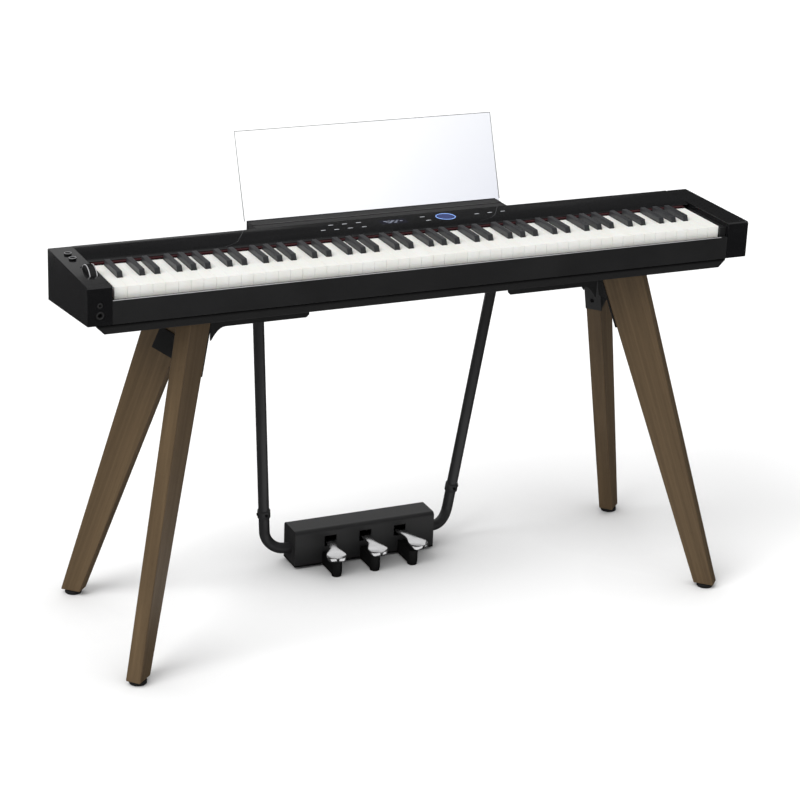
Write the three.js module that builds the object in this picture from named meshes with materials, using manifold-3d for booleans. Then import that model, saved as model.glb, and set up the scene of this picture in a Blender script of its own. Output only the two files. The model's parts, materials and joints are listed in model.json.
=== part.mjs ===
// Slim 88-key digital piano on a four-legged wooden stand with a three-pedal unit.
// Millimetres. +X runs to the treble end, +Y to the back, +Z up.
// The origin is on the floor, under the middle of the four legs.
import * as THREE from 'three';
import { mergeVertices } from 'three/addons/utils/BufferGeometryUtils.js';
import Module from 'manifold-3d';

const wasm = await Module();
wasm.setup();

// ---------------------------------------------------------------- driving dimensions
const GAP = 0.3; // between pieces that touch
const PAST = 1; // how far a cutter runs past a face, or a joined shape into its neighbour
const ROUND = 24; // sides of a round piece

// piano body, with heights given as drops below its top
const CHEEK_WIDTH = 45;
const BODY_DEPTH = 242;
const BODY_SHIFT_Y = -14.7; // the body sits this far forward of the stand's middle
const BODY_TOP = 745;
const BODY_HEIGHT_FRONT = 71.5;
const BODY_HEIGHT_BACK = 98.6;
const CASE_WALL = 4;
const CHEEK_CORNER = 3;

// keyboard
const WHITE_COUNT = 52;
const WHITE_PITCH = 23.6;
const KEY_GAP = 0.9; // between neighbouring white keys
const BASS_END_GAP = 7.9; // between the lowest key and the cheek
const TREBLE_BLOCK_WIDTH = 14.9; // black filler beside the highest key
const TREBLE_BLOCK_DROP = 10;
const WHITE_DROP = 8;
const WHITE_HEIGHT = 22;
const WHITE_FRONT_SETBACK = 13; // behind the front of the body
const WHITE_VISIBLE = 128; // from its front to the felt
const KEY_TAIL_DROP = 3; // the part under the top panel is this much lower
const PIVOT_SETBACK = 204; // hinge line behind the white fronts
const KEY_TAIL_END = 2; // past the hinge line
const BLACK_WIDTH = 10.5;
const BLACK_RISE = 10.5;
const BLACK_SETBACK = 50; // behind the white fronts
const BLACK_FRONT_SLOPE = 5;
const BLACK_SIDE_GAP = 1.1;
const BLACK_TAIL_HEIGHT = 9;
const BLACK_TAIL_START = 40; // behind the felt's front
const FIRST_OCTAVE_WHITE = 23; // middle C, counted from the lowest white key
const BANK_BAR_DEPTH = 10;
const BANK_BAR_SETBACK = 20; // in front of the hinge line
const BANK_BAR_CLEARANCE = 2; // over the black tails
const BLACK_BAR_DEPTH = 6;
const BLACK_BAR_CLEARANCE = 1; // behind the white tails

// key slip, top panel and felt
const KEYSLIP_DROP = 28;
const KEYSLIP_THICK = 9;
const PANEL_DROP = 0.5;
const PANEL_THICK = 3;
const PANEL_SIDE_GAP = 1.2;
const PANEL_LIP_SETBACK = 11; // front edge of the panel, behind the visible ends of the keys
const PANEL_LIP_RUN = 15; // length of the slope behind the lip
const PANEL_LIP_FALL = 3.7;
const PANEL_LIP_THICK = 0.9;
const PANEL_LIP_LEDGE = 10;
const FELT_SETBACK = 1.5; // behind the visible ends of the keys
const FELT_THICK = 1.8;

// controls, placed from the back of the body
const DISPLAY = { x: 3, setback: 34, width: 54, depth: 26 };
const RING = { x: 113.4, setback: 33.5, radius: 20, width: 2.5 };
const INLAY_DEPTH = 1.2;
const KNOB_RADIUS = 7;
const KNOB_HEIGHT = 8;
const KNOB_SHAFT_RADIUS = 3;
const KNOB_SHAFT_LENGTH = 12;
const KNOB_INSET_X = 23.6; // from the outer face of the cheek
const KNOB_SETBACK = { knob_rear: 48.6, knob_front: 77.9 };
const WHEEL_RADIUS = 28;
const WHEEL_WIDTH = 14;
const WHEEL_PROUD = 12; // above the cheek
const WHEEL_INSET_X = 32;
const WHEEL_SETBACK = 153;
const WHEEL_CLEARANCE = 2;
const WHEEL_AXLE_RADIUS = 3;
const WHEEL_AXLE_REACH = 5; // into the cheek at each side
const SHAFT_CLEARANCE = 0.3;

// sockets: radius of the barrel, radius and depth of its bore, drop below the top
const JACK_INSET_X = 22.8;
const JACK_LENGTH = 26;
const JACKS = {
  phone_jack_small: { barrel: 5.5, bore: 1.9, depth: 14, drop: 34.5 },
  phone_jack_large: { barrel: 8, bore: 3.5, depth: 20, drop: 52.7 },
};
const SOCKET_PANEL = { x: 370, drop: 57, width: 150, height: 28, thick: 3 };
const SOCKETS = [
  { x: -50, size: [9, 9] }, // power inlet
  { x: -5, size: [14, 7] }, // data socket
  { x: 45, size: [16, 10] }, // pedal unit socket
];

// key frame and electronics; setbacks are in front of the keys' hinge line
const FRAME_PLATE_DROP = 15; // below the undersides of the keys
const FRAME_PLATE_THICK = 4;
const FRAME_RIB = 4;
const FRAME_END_GAP = 6;
const HINGE_RAIL_HALF = 4;
const CONTACT_BOARD = { setback: 151, depth: 30, thick: 1.6 };
const MAIN_BOARD = { x: 80, setback: 46, width: 260, depth: 70, thick: 1.6, post: 8 };
const SPEAKER = { x: 500, setback: 48, radius: 34, rim: 6, rimThick: 3, height: 30 };
const SPEAKER_MAGNET = { radius: 19, thick: 12, shell: 3 };
const GRILLE_SLOTS = 7;
const GRILLE_SLOT_WIDTH = 3;

// music rest
const HOLDER_WIDTH = 528;
const HOLDER_DEPTH = 55;
const HOLDER_HEIGHT = 32;
const HOLDER_DROP = 1;
const HOLDER_LINE_Y = 22; // decorative groove, from the holder's front
const HOLDER_LINE = 2.5;
const REST_WIDTH = 540.8;
const REST_THICK = 3;
const REST_LENGTH = 186;
const REST_LEAN = THREE.MathUtils.degToRad(20);
const REST_SETBACK = 49.5; // front face where it leaves the holder, from the holder's front
const REST_SEAT_DEPTH = 14;

// stand frame
const RAIL_END_INSET = 26; // from the end of the body
const RAIL_DEPTH = 22;
const RAIL_LAP = 1.1; // its underside below the top of the side plates
const RAIL_SETBACK = 31; // behind the front of the body
const RAIL_END_CHAMFER = 14;
const RAIL_WALL = 1.6;
const PLATE_THICK = 4;
const PLATE_INNER_X = 207.5;
const PLATE_OUTER_X = 470;
const CHANNEL_HALF = 25.5;
const CHANNEL_HEIGHT = 40.4;
const CHANNEL_WALL = 3;
const CHANNEL_CHAMFER = 5.5;
const GUSSET_HEIGHT = 25; // corner below the channel where it meets the legs
const GUSSET_RUN = 28;
const GUSSET_TIP = 2; // width of its lower end
const REAR_BAR_HALF = 440;
const REAR_BAR_HEIGHT = 24;

// legs: tapered planks that stand on diagonals, seen from above
const LEG_AZIMUTH = THREE.MathUtils.degToRad(46.769); // of the plank from the Y axis
const LEG_PLANE_OFFSET = 265.7; // of the plank's middle plane from the origin
const LEG_THICK = 29.8;
const LEG_FOOT_INNER = 559.6; // along the plank, at the floor
const LEG_FOOT_OUTER = 599.8;
const LEG_HEAD_INNER = 315.2; // along the plank, at its head
const LEG_HEAD_OUTER = 402.6;
const LEG_CORNER = 12;
const PAD_HEIGHT = 8;
const PAD_RADIUS = 16.5;

// corner brackets; drops are below the heads of the legs
const BRACKET_THICK = 3;
const STRAP_DROP = 112.5; // of its lower edge, at the plank's inner edge
const STRAP_HEIGHT = 43;
const STRAP_SLOPE = 0.41; // rise towards the outer edge of the plank
const STRAP_LENGTH = 43;
const EDGE_PLATE_DROP = 115;
const WEB_DROP = 77;

// pedal unit
const BOX_WIDTH = 309;
const BOX_FRONT_Y = 145.3;
const BOX_DEPTH = 62;
const BOX_BOTTOM = 8.4;
const BOX_TOP = 83;
const BOX_WALL = 3;
const BOX_NOSE = 8; // radius of the top edges
const PEDAL_PITCH = 77; // where the pedals leave the box
const PEDAL_FAN = THREE.MathUtils.degToRad(12.2); // outward turn of the outer pedals
const PEDAL_FALL = THREE.MathUtils.degToRad(3.5); // slope down to the front
const PEDAL_TOP = 59; // where the pedals leave the box
const PEDAL_REACH = 85; // in front of the box
const PEDAL_THICK = 6;
const PEDAL_TREAD_WIDTH = 42;
const PEDAL_TREAD_LENGTH = 54;
const PEDAL_NECK_WIDTH = 21;
const PEDAL_NOSE_HEIGHT = 12;
const PEDAL_NOSE_LENGTH = 12;
const PEDAL_ARM_WIDTH = 14;
const PEDAL_ARM_HEIGHT = 10;
const PEDAL_PIVOT_SETBACK = 44; // hinge line behind the box front
const PEDAL_HUB_RADIUS = 6;
const PEDAL_DIP = THREE.MathUtils.degToRad(5.5);
const SLOT_WIDTH = 26;
const SLOT_ABOVE = 7;
const SLOT_BELOW = 2;
const BASE_THICK = 3;
const TONGUE_WIDTH = 22;
const TONGUE_PITCH = 84;
const TONGUE_REACH = 50.3; // from the box front to the middle of the front feet
const FOOT_RADIUS = 10;
const STOPPER_DROP = 27; // top of the wall under each pedal, below where the pedals leave the box
const REAR_FOOT_INSET = 19.5; // from the end of the base
const REAR_FOOT_SETBACK = 14; // from the back of the base

// pedal pipes
const PIPE_RADIUS = 11;
const PIPE_WALL = 1.5;
const PIPE_SIDES = 16;
const PIPE_HEAD_X = 256.2;
const PIPE_HEAD_DROP = 5.8; // below the heads of the legs
const PIPE_STANDOFF = 2.7; // behind the rear bar
const PIPE_FOOT_INSET = 47.5; // outwards from the end of the pedal box, at its lower end
const PIPE_FOOT_SETBACK = 16.2; // behind the middle of the pedal box, at its lower end
const PIPE_JOINT_Z = 118;
const PIPE_LUG_HEIGHT = 20;
const PIPE_LUG_HALF = 16;
const COLLAR_HEIGHT = 18;
const COLLAR_WALL = 3;
const ELBOW_Z = 38;
const ELBOW_INSIDE = 2; // past the end of the pedal box
const ELBOW_REACH = 38; // from the corner of the bend to where the pipe is straight
const ELBOW_PULL = 24; // length of the handles that shape the bend
const ELBOW_STEPS = 16;

// ---------------------------------------------------------------- derived dimensions
const BODY_WIDTH = WHITE_COUNT * WHITE_PITCH + BASS_END_GAP + TREBLE_BLOCK_WIDTH + 2 * CHEEK_WIDTH;
const BODY_HALF = BODY_WIDTH / 2;
const FRONT_Y = -BODY_DEPTH / 2;
const BACK_Y = BODY_DEPTH / 2;
const UNDER_FRONT = BODY_TOP - BODY_HEIGHT_FRONT;
const UNDER_BACK = BODY_TOP - BODY_HEIGHT_BACK;
const WELL_HALF = BODY_HALF - CHEEK_WIDTH; // inner faces of the cheeks
const KEYS_LEFT = -WELL_HALF + BASS_END_GAP;
const KEYS_RIGHT = WELL_HALF - TREBLE_BLOCK_WIDTH;
const KEY_FRONT = FRONT_Y + WHITE_FRONT_SETBACK;
const KEY_VISIBLE_END = KEY_FRONT + WHITE_VISIBLE;
const WHITE_TOP = BODY_TOP - WHITE_DROP;
const KEY_BOTTOM = WHITE_TOP - WHITE_HEIGHT;
const KEY_TAIL_TOP = WHITE_TOP - KEY_TAIL_DROP;
const PIVOT_Y = KEY_FRONT + PIVOT_SETBACK;
const FRAME_PLATE_TOP = KEY_BOTTOM - FRAME_PLATE_DROP;
const PANEL_TOP = BODY_TOP - PANEL_DROP;
const PANEL_LIP_Y = KEY_VISIBLE_END + PANEL_LIP_SETBACK;
const PANEL_LIP_TOP = PANEL_TOP - PANEL_LIP_FALL;
const PANEL_LIP_BOTTOM = PANEL_LIP_TOP - PANEL_LIP_THICK;
const PANEL_LEDGE_END = PANEL_LIP_Y + PANEL_LIP_LEDGE;
const CASE_FRONT = FRONT_Y + KEYSLIP_THICK + GAP;
const WHEEL_Y = BACK_Y - WHEEL_SETBACK;
const WHEEL_Z = BODY_TOP + WHEEL_PROUD - WHEEL_RADIUS;
const SPEAKER_Y = PIVOT_Y - SPEAKER.setback;
const HOLDER_FRONT = BACK_Y + GAP;
const HOLDER_TOP = BODY_TOP - HOLDER_DROP;
const RAIL_LENGTH = BODY_WIDTH - 2 * RAIL_END_INSET;
const RAIL_FRONT_Y = FRONT_Y + BODY_SHIFT_Y + RAIL_SETBACK;
const REAR_BAR_BACK_Y = BACK_Y + BODY_SHIFT_Y - GAP;
const FRAME_TOP = UNDER_BACK - GAP; // top of the stand's side plates
const RAIL_BOTTOM = FRAME_TOP - RAIL_LAP;
const LEG_TOP = FRAME_TOP - PLATE_THICK - GAP;
const LEG_BOTTOM = PAD_HEIGHT + GAP;
const CHANNEL_BOTTOM = FRAME_TOP - CHANNEL_HEIGHT;
const BOX_MID_Y = BOX_FRONT_Y + BOX_DEPTH / 2;
const PEDAL_PIVOT_Y = BOX_FRONT_Y + PEDAL_PIVOT_SETBACK;
const PEDAL_HUB_Z = PEDAL_TOP + PEDAL_PIVOT_SETBACK * Math.tan(PEDAL_FALL) - PEDAL_HUB_RADIUS;

// Height of the sloping underside of the body, at a distance from its middle.
function undersideAt(y) {
  const share = (BACK_Y - y) / BODY_DEPTH;
  return UNDER_BACK + share * (UNDER_FRONT - UNDER_BACK);
}

// ---------------------------------------------------------------- materials
const FINISHES = {
  caseBlack: { color: 0x202124, roughness: 0.45, metalness: 0 },
  glossBlack: { color: 0x16171a, roughness: 0.08, metalness: 0 },
  white: { color: 0xeeeeea, roughness: 0.3, metalness: 0 },
  keyBlack: { color: 0x1c1d1f, roughness: 0.5, metalness: 0 },
  felt: { color: 0x5a1620, roughness: 0.95, metalness: 0 },
  display: { color: 0x2b2a3c, roughness: 0.1, metalness: 0 },
  glow: { color: 0x5aa0ff, roughness: 0.2, metalness: 0 },
  knob: { color: 0x1a1a1c, roughness: 0.35, metalness: 0 },
  steelBlack: { color: 0x1f1f22, roughness: 0.5, metalness: 0.3 },
  wood: { color: 0x6e6250, roughness: 0.6, metalness: 0 },
  rubber: { color: 0x101010, roughness: 0.9, metalness: 0 },
  chrome: { color: 0xd8d8dc, roughness: 0.12, metalness: 1 },
  boxGrey: { color: 0x38393c, roughness: 0.5, metalness: 0 },
  circuit: { color: 0x1e5b34, roughness: 0.6, metalness: 0 },
  acrylic: { color: 0xe8eef0, roughness: 0.05, metalness: 0, transparent: true, opacity: 0.35 },
};

function material(finish) {
  return new THREE.MeshStandardMaterial(FINISHES[finish]);
}

// ---------------------------------------------------------------- geometry helpers
function toSolid(geometry) {
  const bare = geometry.clone();
  bare.deleteAttribute('normal');
  bare.deleteAttribute('uv');
  const merged = mergeVertices(bare, 1e-4);
  return new wasm.Manifold(
    new wasm.Mesh({
      numProp: 3,
      vertProperties: Float32Array.from(merged.attributes.position.array),
      triVerts: Uint32Array.from(merged.index.array),
    }),
  );
}

function toGeometry(solid) {
  const mesh = solid.getMesh();
  const geometry = new THREE.BufferGeometry();
  geometry.setAttribute('position', new THREE.BufferAttribute(mesh.vertProperties, 3));
  geometry.setIndex(new THREE.BufferAttribute(mesh.triVerts, 1));
  geometry.computeVertexNormals();
  return geometry;
}

function boxGeometry([x0, x1], [y0, y1], [z0, z1]) {
  const geometry = new THREE.BoxGeometry(x1 - x0, y1 - y0, z1 - z0);
  return geometry.translate((x0 + x1) / 2, (y0 + y1) / 2, (z0 + z1) / 2);
}

function box(xs, ys, zs) {
  return toSolid(boxGeometry(xs, ys, zs));
}

function span(centre, size) {
  return [centre - size / 2, centre + size / 2];
}

// A closed outline of [a, b] points as a shape.
function outline(points) {
  return new THREE.Shape(points.map(([a, b]) => new THREE.Vector2(a, b)));
}

// Shape in (y, z), run along X from x0 to x1.
function shapeAlongX(shape, x0, x1) {
  const options = { depth: x1 - x0, bevelEnabled: false, curveSegments: 8 };
  const turn = new THREE.Matrix4().makeBasis(
    new THREE.Vector3(0, 1, 0),
    new THREE.Vector3(0, 0, 1),
    new THREE.Vector3(1, 0, 0),
  );
  return new THREE.ExtrudeGeometry(shape, options).applyMatrix4(turn).translate(x0, 0, 0);
}

// Shape in (x, z), run along Y from y0 to y1.
function shapeAlongY(shape, y0, y1) {
  const options = { depth: y1 - y0, bevelEnabled: false, curveSegments: 6 };
  return new THREE.ExtrudeGeometry(shape, options).rotateX(Math.PI / 2).translate(0, y1, 0);
}

function alongX(points, x0, x1) {
  return shapeAlongX(outline(points), x0, x1);
}

function alongY(points, y0, y1) {
  return shapeAlongY(outline(points), y0, y1);
}

// Shape in (x, y), run up from z0 to z1.
function alongZ(shape, z0, z1) {
  const geometry = new THREE.ExtrudeGeometry(shape, {
    depth: z1 - z0,
    bevelEnabled: false,
    curveSegments: 8,
  });
  return geometry.translate(0, 0, z0);
}

function cylinderZ(radius, x, y, [z0, z1], sides = ROUND) {
  const geometry = new THREE.CylinderGeometry(radius, radius, z1 - z0, sides);
  return geometry.rotateX(Math.PI / 2).translate(x, y, (z0 + z1) / 2);
}

function cylinderY(radius, x, z, [y0, y1], sides = ROUND) {
  const geometry = new THREE.CylinderGeometry(radius, radius, y1 - y0, sides);
  return geometry.translate(x, (y0 + y1) / 2, z);
}

function cylinderX(radius, y, z, [x0, x1], sides = ROUND) {
  const geometry = new THREE.CylinderGeometry(radius, radius, x1 - x0, sides);
  return geometry.rotateZ(Math.PI / 2).translate((x0 + x1) / 2, y, z);
}

function unite(solids) {
  return solids.reduce((sum, solid) => sum.add(solid));
}

function add(group, name, finish, piece) {
  const geometry = piece.isBufferGeometry ? piece : toGeometry(piece);
  const mesh = new THREE.Mesh(geometry, material(finish));
  mesh.name = name;
  group.add(mesh);
  return mesh;
}

function mirrorX(solid) {
  return solid.mirror([1, 0, 0]);
}

function mirrorY(solid) {
  return solid.mirror([0, 1, 0]);
}

// A right-hand piece and its mirror image on the left.
function addPair(group, name, finish, solid) {
  add(group, `${name}_right`, finish, solid);
  add(group, `${name}_left`, finish, mirrorX(solid));
}

// ---------------------------------------------------------------- body casing
function cheekBlock(x0, x1) {
  const profile = [
    [BACK_Y, UNDER_BACK],
    [BACK_Y, BODY_TOP - CHEEK_CORNER],
    [BACK_Y - CHEEK_CORNER, BODY_TOP],
    [FRONT_Y + CHEEK_CORNER, BODY_TOP],
    [FRONT_Y, BODY_TOP - CHEEK_CORNER],
    [FRONT_Y, UNDER_FRONT],
  ];
  return toSolid(alongX(profile, x0, x1));
}

// Holes in the left-hand cheek for one jack, one knob shaft and the wheel with its axle.
function jackHole({ barrel, drop }) {
  const reach = [FRONT_Y - PAST, FRONT_Y + JACK_LENGTH + GAP];
  return toSolid(cylinderY(barrel + GAP, -BODY_HALF + JACK_INSET_X, BODY_TOP - drop, reach));
}

function shaftHole(setback) {
  const depth = [BODY_TOP - KNOB_SHAFT_LENGTH - GAP, BODY_TOP + PAST];
  const radius = KNOB_SHAFT_RADIUS + SHAFT_CLEARANCE;
  return toSolid(cylinderZ(radius, -BODY_HALF + KNOB_INSET_X, BACK_Y - setback, depth));
}

function wheelHole() {
  const x = -BODY_HALF + WHEEL_INSET_X;
  const width = WHEEL_WIDTH + 2 * WHEEL_CLEARANCE;
  const slot = box(
    span(x, width),
    span(WHEEL_Y, 2 * (WHEEL_RADIUS + WHEEL_CLEARANCE)),
    [WHEEL_Z - WHEEL_RADIUS - WHEEL_CLEARANCE, BODY_TOP + PAST],
  );
  const axleSpan = span(x, width + 2 * (WHEEL_AXLE_REACH + GAP));
  return slot.add(toSolid(cylinderX(WHEEL_AXLE_RADIUS + SHAFT_CLEARANCE, WHEEL_Y, WHEEL_Z, axleSpan)));
}

function cheekLeft() {
  const holes = [
    ...Object.values(JACKS).map(jackHole),
    ...Object.values(KNOB_SETBACK).map(shaftHole),
    wheelHole(),
  ];
  return cheekBlock(-BODY_HALF, -WELL_HALF).subtract(unite(holes));
}

function cheekRight() {
  return cheekBlock(WELL_HALF, BODY_HALF);
}

// Bottom tray with its back wall, open towards the keys.
function bottomCase() {
  const back = BACK_Y - CASE_WALL;
  const wallTop = PANEL_TOP - PANEL_THICK - GAP;
  const profile = [
    [CASE_FRONT, undersideAt(CASE_FRONT)],
    [BACK_Y, UNDER_BACK],
    [BACK_Y, wallTop],
    [back, wallTop],
    [back, undersideAt(back) + CASE_WALL],
    [CASE_FRONT, undersideAt(CASE_FRONT) + CASE_WALL],
  ];
  const half = WELL_HALF - GAP;
  const tray = toSolid(alongX(profile, -half, half));
  const window = box(
    span(SOCKET_PANEL.x, SOCKET_PANEL.width + 2 * GAP),
    [back - PAST, BACK_Y + PAST],
    span(BODY_TOP - SOCKET_PANEL.drop, SOCKET_PANEL.height + 2 * GAP),
  );
  return tray.subtract(unite([window, ...grilleSlots(-SPEAKER.x), ...grilleSlots(SPEAKER.x)]));
}

// Slots under a speaker, each as long as the cone is wide at that place.
function grilleSlots(centreX) {
  const reach = SPEAKER.radius - SPEAKER.rim;
  const slots = [];
  for (let i = 0; i < GRILLE_SLOTS; i += 1) {
    const offset = ((i - (GRILLE_SLOTS - 1) / 2) * 2 * reach) / GRILLE_SLOTS;
    const half = Math.sqrt(reach * reach - offset * offset);
    const low = undersideAt(SPEAKER_Y + half) - PAST;
    const high = undersideAt(SPEAKER_Y - half) + CASE_WALL + PAST;
    slots.push(box(span(centreX + offset, GRILLE_SLOT_WIDTH), span(SPEAKER_Y, 2 * half), [low, high]));
  }
  return slots;
}

// Front rail of the body, with the filler block beside the highest key.
function keyslip() {
  const back = FRONT_Y + KEYSLIP_THICK;
  const top = BODY_TOP - KEYSLIP_DROP;
  const profile = [
    [FRONT_Y, undersideAt(FRONT_Y)],
    [back, undersideAt(back)],
    [back, top],
    [FRONT_Y, top],
  ];
  const bar = toSolid(alongX(profile, -WELL_HALF + GAP, WELL_HALF - GAP));
  const block = box(
    [KEYS_RIGHT + KEY_GAP, WELL_HALF - GAP],
    [back - PAST, KEY_VISIBLE_END],
    [FRAME_PLATE_TOP + GAP, BODY_TOP - TREBLE_BLOCK_DROP],
  );
  return bar.add(block);
}

function topPanel() {
  const under = PANEL_TOP - PANEL_THICK;
  const profile = [
    [PANEL_LIP_Y, PANEL_LIP_BOTTOM],
    [PANEL_LEDGE_END, PANEL_LIP_BOTTOM],
    [PANEL_LEDGE_END + (under - PANEL_LIP_BOTTOM), under],
    [BACK_Y, under],
    [BACK_Y, PANEL_TOP],
    [PANEL_LIP_Y + PANEL_LIP_RUN, PANEL_TOP],
    [PANEL_LIP_Y, PANEL_LIP_TOP],
  ];
  const half = WELL_HALF - PANEL_SIDE_GAP;
  const zs = [PANEL_TOP - INLAY_DEPTH, PANEL_TOP + PAST];
  const display = toSolid(displayGeometry(GAP, zs));
  const ring = ringSolid(RING.radius + GAP, RING.radius - RING.width - GAP, zs);
  return toSolid(alongX(profile, -half, half)).subtract(display).subtract(ring);
}

function displayGeometry(margin, zs) {
  const xs = span(DISPLAY.x, DISPLAY.width + 2 * margin);
  return boxGeometry(xs, span(BACK_Y - DISPLAY.setback, DISPLAY.depth + 2 * margin), zs);
}

function ringSolid(outer, inner, [z0, z1]) {
  const y = BACK_Y - RING.setback;
  const disc = toSolid(cylinderZ(outer, RING.x, y, [z0, z1], 2 * ROUND));
  const hole = toSolid(cylinderZ(inner, RING.x, y, [z0 - PAST, z1 + PAST], 2 * ROUND));
  return disc.subtract(hole);
}

function feltStrip() {
  const top = PANEL_LIP_BOTTOM - GAP;
  const ys = [KEY_VISIBLE_END + FELT_SETBACK, PANEL_LEDGE_END];
  return boxGeometry([KEYS_LEFT, KEYS_RIGHT], ys, [top - FELT_THICK, top]);
}

function buildCasing(body) {
  add(body, 'cheek_left', 'glossBlack', cheekLeft());
  add(body, 'cheek_right', 'glossBlack', cheekRight());
  add(body, 'bottom_case', 'caseBlack', bottomCase());
  add(body, 'keyslip', 'caseBlack', keyslip());
  add(body, 'top_panel', 'glossBlack', topPanel());
  add(body, 'felt_strip', 'felt', feltStrip());
}

// ---------------------------------------------------------------- controls and sockets
function buildPanelInlays(body) {
  const zs = [PANEL_TOP - INLAY_DEPTH + GAP, PANEL_TOP];
  add(body, 'display_window', 'display', displayGeometry(0, zs));
  add(body, 'touch_ring', 'glow', ringSolid(RING.radius, RING.radius - RING.width, zs));
}

function knob(setback) {
  const x = -BODY_HALF + KNOB_INSET_X;
  const y = BACK_Y - setback;
  const cap = toSolid(cylinderZ(KNOB_RADIUS, x, y, [BODY_TOP + GAP, BODY_TOP + KNOB_HEIGHT]));
  const shaft = cylinderZ(KNOB_SHAFT_RADIUS, x, y, [BODY_TOP - KNOB_SHAFT_LENGTH, BODY_TOP + PAST]);
  return cap.add(toSolid(shaft));
}

function bendWheel() {
  const x = -BODY_HALF + WHEEL_INSET_X;
  const rim = cylinderX(WHEEL_RADIUS, WHEEL_Y, WHEEL_Z, span(x, WHEEL_WIDTH), 2 * ROUND);
  const axleSpan = span(x, WHEEL_WIDTH + 2 * (WHEEL_CLEARANCE + WHEEL_AXLE_REACH));
  const axle = cylinderX(WHEEL_AXLE_RADIUS, WHEEL_Y, WHEEL_Z, axleSpan);
  return toSolid(rim).add(toSolid(axle));
}

function jackSocket({ barrel, bore, depth, drop }) {
  const x = -BODY_HALF + JACK_INSET_X;
  const z = BODY_TOP - drop;
  const outer = toSolid(cylinderY(barrel, x, z, [FRONT_Y, FRONT_Y + JACK_LENGTH]));
  return outer.subtract(toSolid(cylinderY(bore, x, z, [FRONT_Y - PAST, FRONT_Y + depth])));
}

function rearSocketPanel() {
  const { x, width, height, thick } = SOCKET_PANEL;
  const z = BODY_TOP - SOCKET_PANEL.drop;
  const plate = box(span(x, width), [BACK_Y - thick, BACK_Y], span(z, height));
  const ys = [BACK_Y - thick - PAST, BACK_Y + PAST];
  const holes = SOCKETS.map((socket) => box(span(x + socket.x, socket.size[0]), ys, span(z, socket.size[1])));
  return plate.subtract(unite(holes));
}

function buildControls(body) {
  buildPanelInlays(body);
  for (const [name, setback] of Object.entries(KNOB_SETBACK)) {
    add(body, name, 'knob', knob(setback));
  }
  add(body, 'bend_wheel', 'knob', bendWheel());
  for (const [name, jack] of Object.entries(JACKS)) {
    add(body, name, 'knob', jackSocket(jack));
  }
  add(body, 'rear_socket_panel', 'caseBlack', rearSocketPanel());
}

// ---------------------------------------------------------------- key frame and electronics
// A moulded plate on three ribs, with the hinge rail of the keys at its back.
function keyFrame() {
  const front = CASE_FRONT + GAP;
  const plateBottom = FRAME_PLATE_TOP - FRAME_PLATE_THICK;
  const seat = (y) => undersideAt(y) + CASE_WALL + 2 * GAP;
  const middle = (front + PIVOT_Y) / 2;
  const railFront = PIVOT_Y - HINGE_RAIL_HALF;
  const railBack = PIVOT_Y + HINGE_RAIL_HALF;
  const railTop = KEY_BOTTOM - GAP;
  const profile = [
    [front, seat(front)],
    [front + FRAME_RIB, seat(front)],
    [front + FRAME_RIB, plateBottom],
    [middle, plateBottom],
    [middle, seat(middle)],
    [middle + FRAME_RIB, seat(middle)],
    [middle + FRAME_RIB, plateBottom],
    [railBack - FRAME_RIB, plateBottom],
    [railBack - FRAME_RIB, seat(railBack - FRAME_RIB)],
    [railBack, seat(railBack - FRAME_RIB)],
    [railBack, railTop],
    [railFront, railTop],
    [railFront, FRAME_PLATE_TOP],
    [front, FRAME_PLATE_TOP],
  ];
  const half = WELL_HALF - FRAME_END_GAP;
  return alongX(profile, -half, half);
}

function contactBoard() {
  const { setback, depth, thick } = CONTACT_BOARD;
  const low = FRAME_PLATE_TOP + GAP;
  return boxGeometry([KEYS_LEFT, KEYS_RIGHT], span(PIVOT_Y - setback, depth), [low, low + thick]);
}

// Circuit board hung on four posts under the key frame.
function mainBoard() {
  const top = FRAME_PLATE_TOP - FRAME_PLATE_THICK - GAP;
  const { x, setback, width, depth, thick, post } = MAIN_BOARD;
  const y = PIVOT_Y - setback;
  const boardTop = top - post;
  const pieces = [box(span(x, width), span(y, depth), [boardTop - thick, boardTop])];
  for (const sx of [-1, 1]) {
    for (const sy of [-1, 1]) {
      const px = x + sx * (width / 2 - post);
      const py = y + sy * (depth / 2 - post);
      pieces.push(toSolid(cylinderZ(post / 2, px, py, [boardTop - thick / 2, top], ROUND / 2)));
    }
  }
  return unite(pieces);
}

// Speaker that fires down through the slots: rim, basket and magnet.
function speakerGeometry() {
  const { radius, rim, rimThick, height } = SPEAKER;
  const { radius: magnet, thick, shell } = SPEAKER_MAGNET;
  const profile = [
    [0, height],
    [magnet, height],
    [magnet, height - thick],
    [magnet - shell, height - thick],
    [radius - rim, rimThick],
    [radius, rimThick],
    [radius, 0],
    [radius - rim, 0],
    [magnet - 2 * shell, height - thick - 2 * shell],
    [0, height - thick - 2 * shell],
  ];
  const points = profile.map(([r, z]) => new THREE.Vector2(r, z)).reverse();
  return new THREE.LatheGeometry(points, ROUND).rotateX(Math.PI / 2);
}

function addSpeaker(body, name, x) {
  const mesh = add(body, name, 'knob', speakerGeometry());
  const slope = Math.atan2(UNDER_BACK - UNDER_FRONT, BODY_DEPTH);
  const lift = (CASE_WALL + GAP) / Math.cos(slope);
  mesh.position.set(x, SPEAKER_Y, undersideAt(SPEAKER_Y) + lift);
  mesh.rotation.x = slope;
}

function buildInside(body) {
  add(body, 'key_frame', 'caseBlack', keyFrame());
  add(body, 'contact_board', 'circuit', contactBoard());
  add(body, 'main_board', 'circuit', mainBoard());
  addSpeaker(body, 'speaker_left', -SPEAKER.x);
  addSpeaker(body, 'speaker_right', SPEAKER.x);
}

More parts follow.
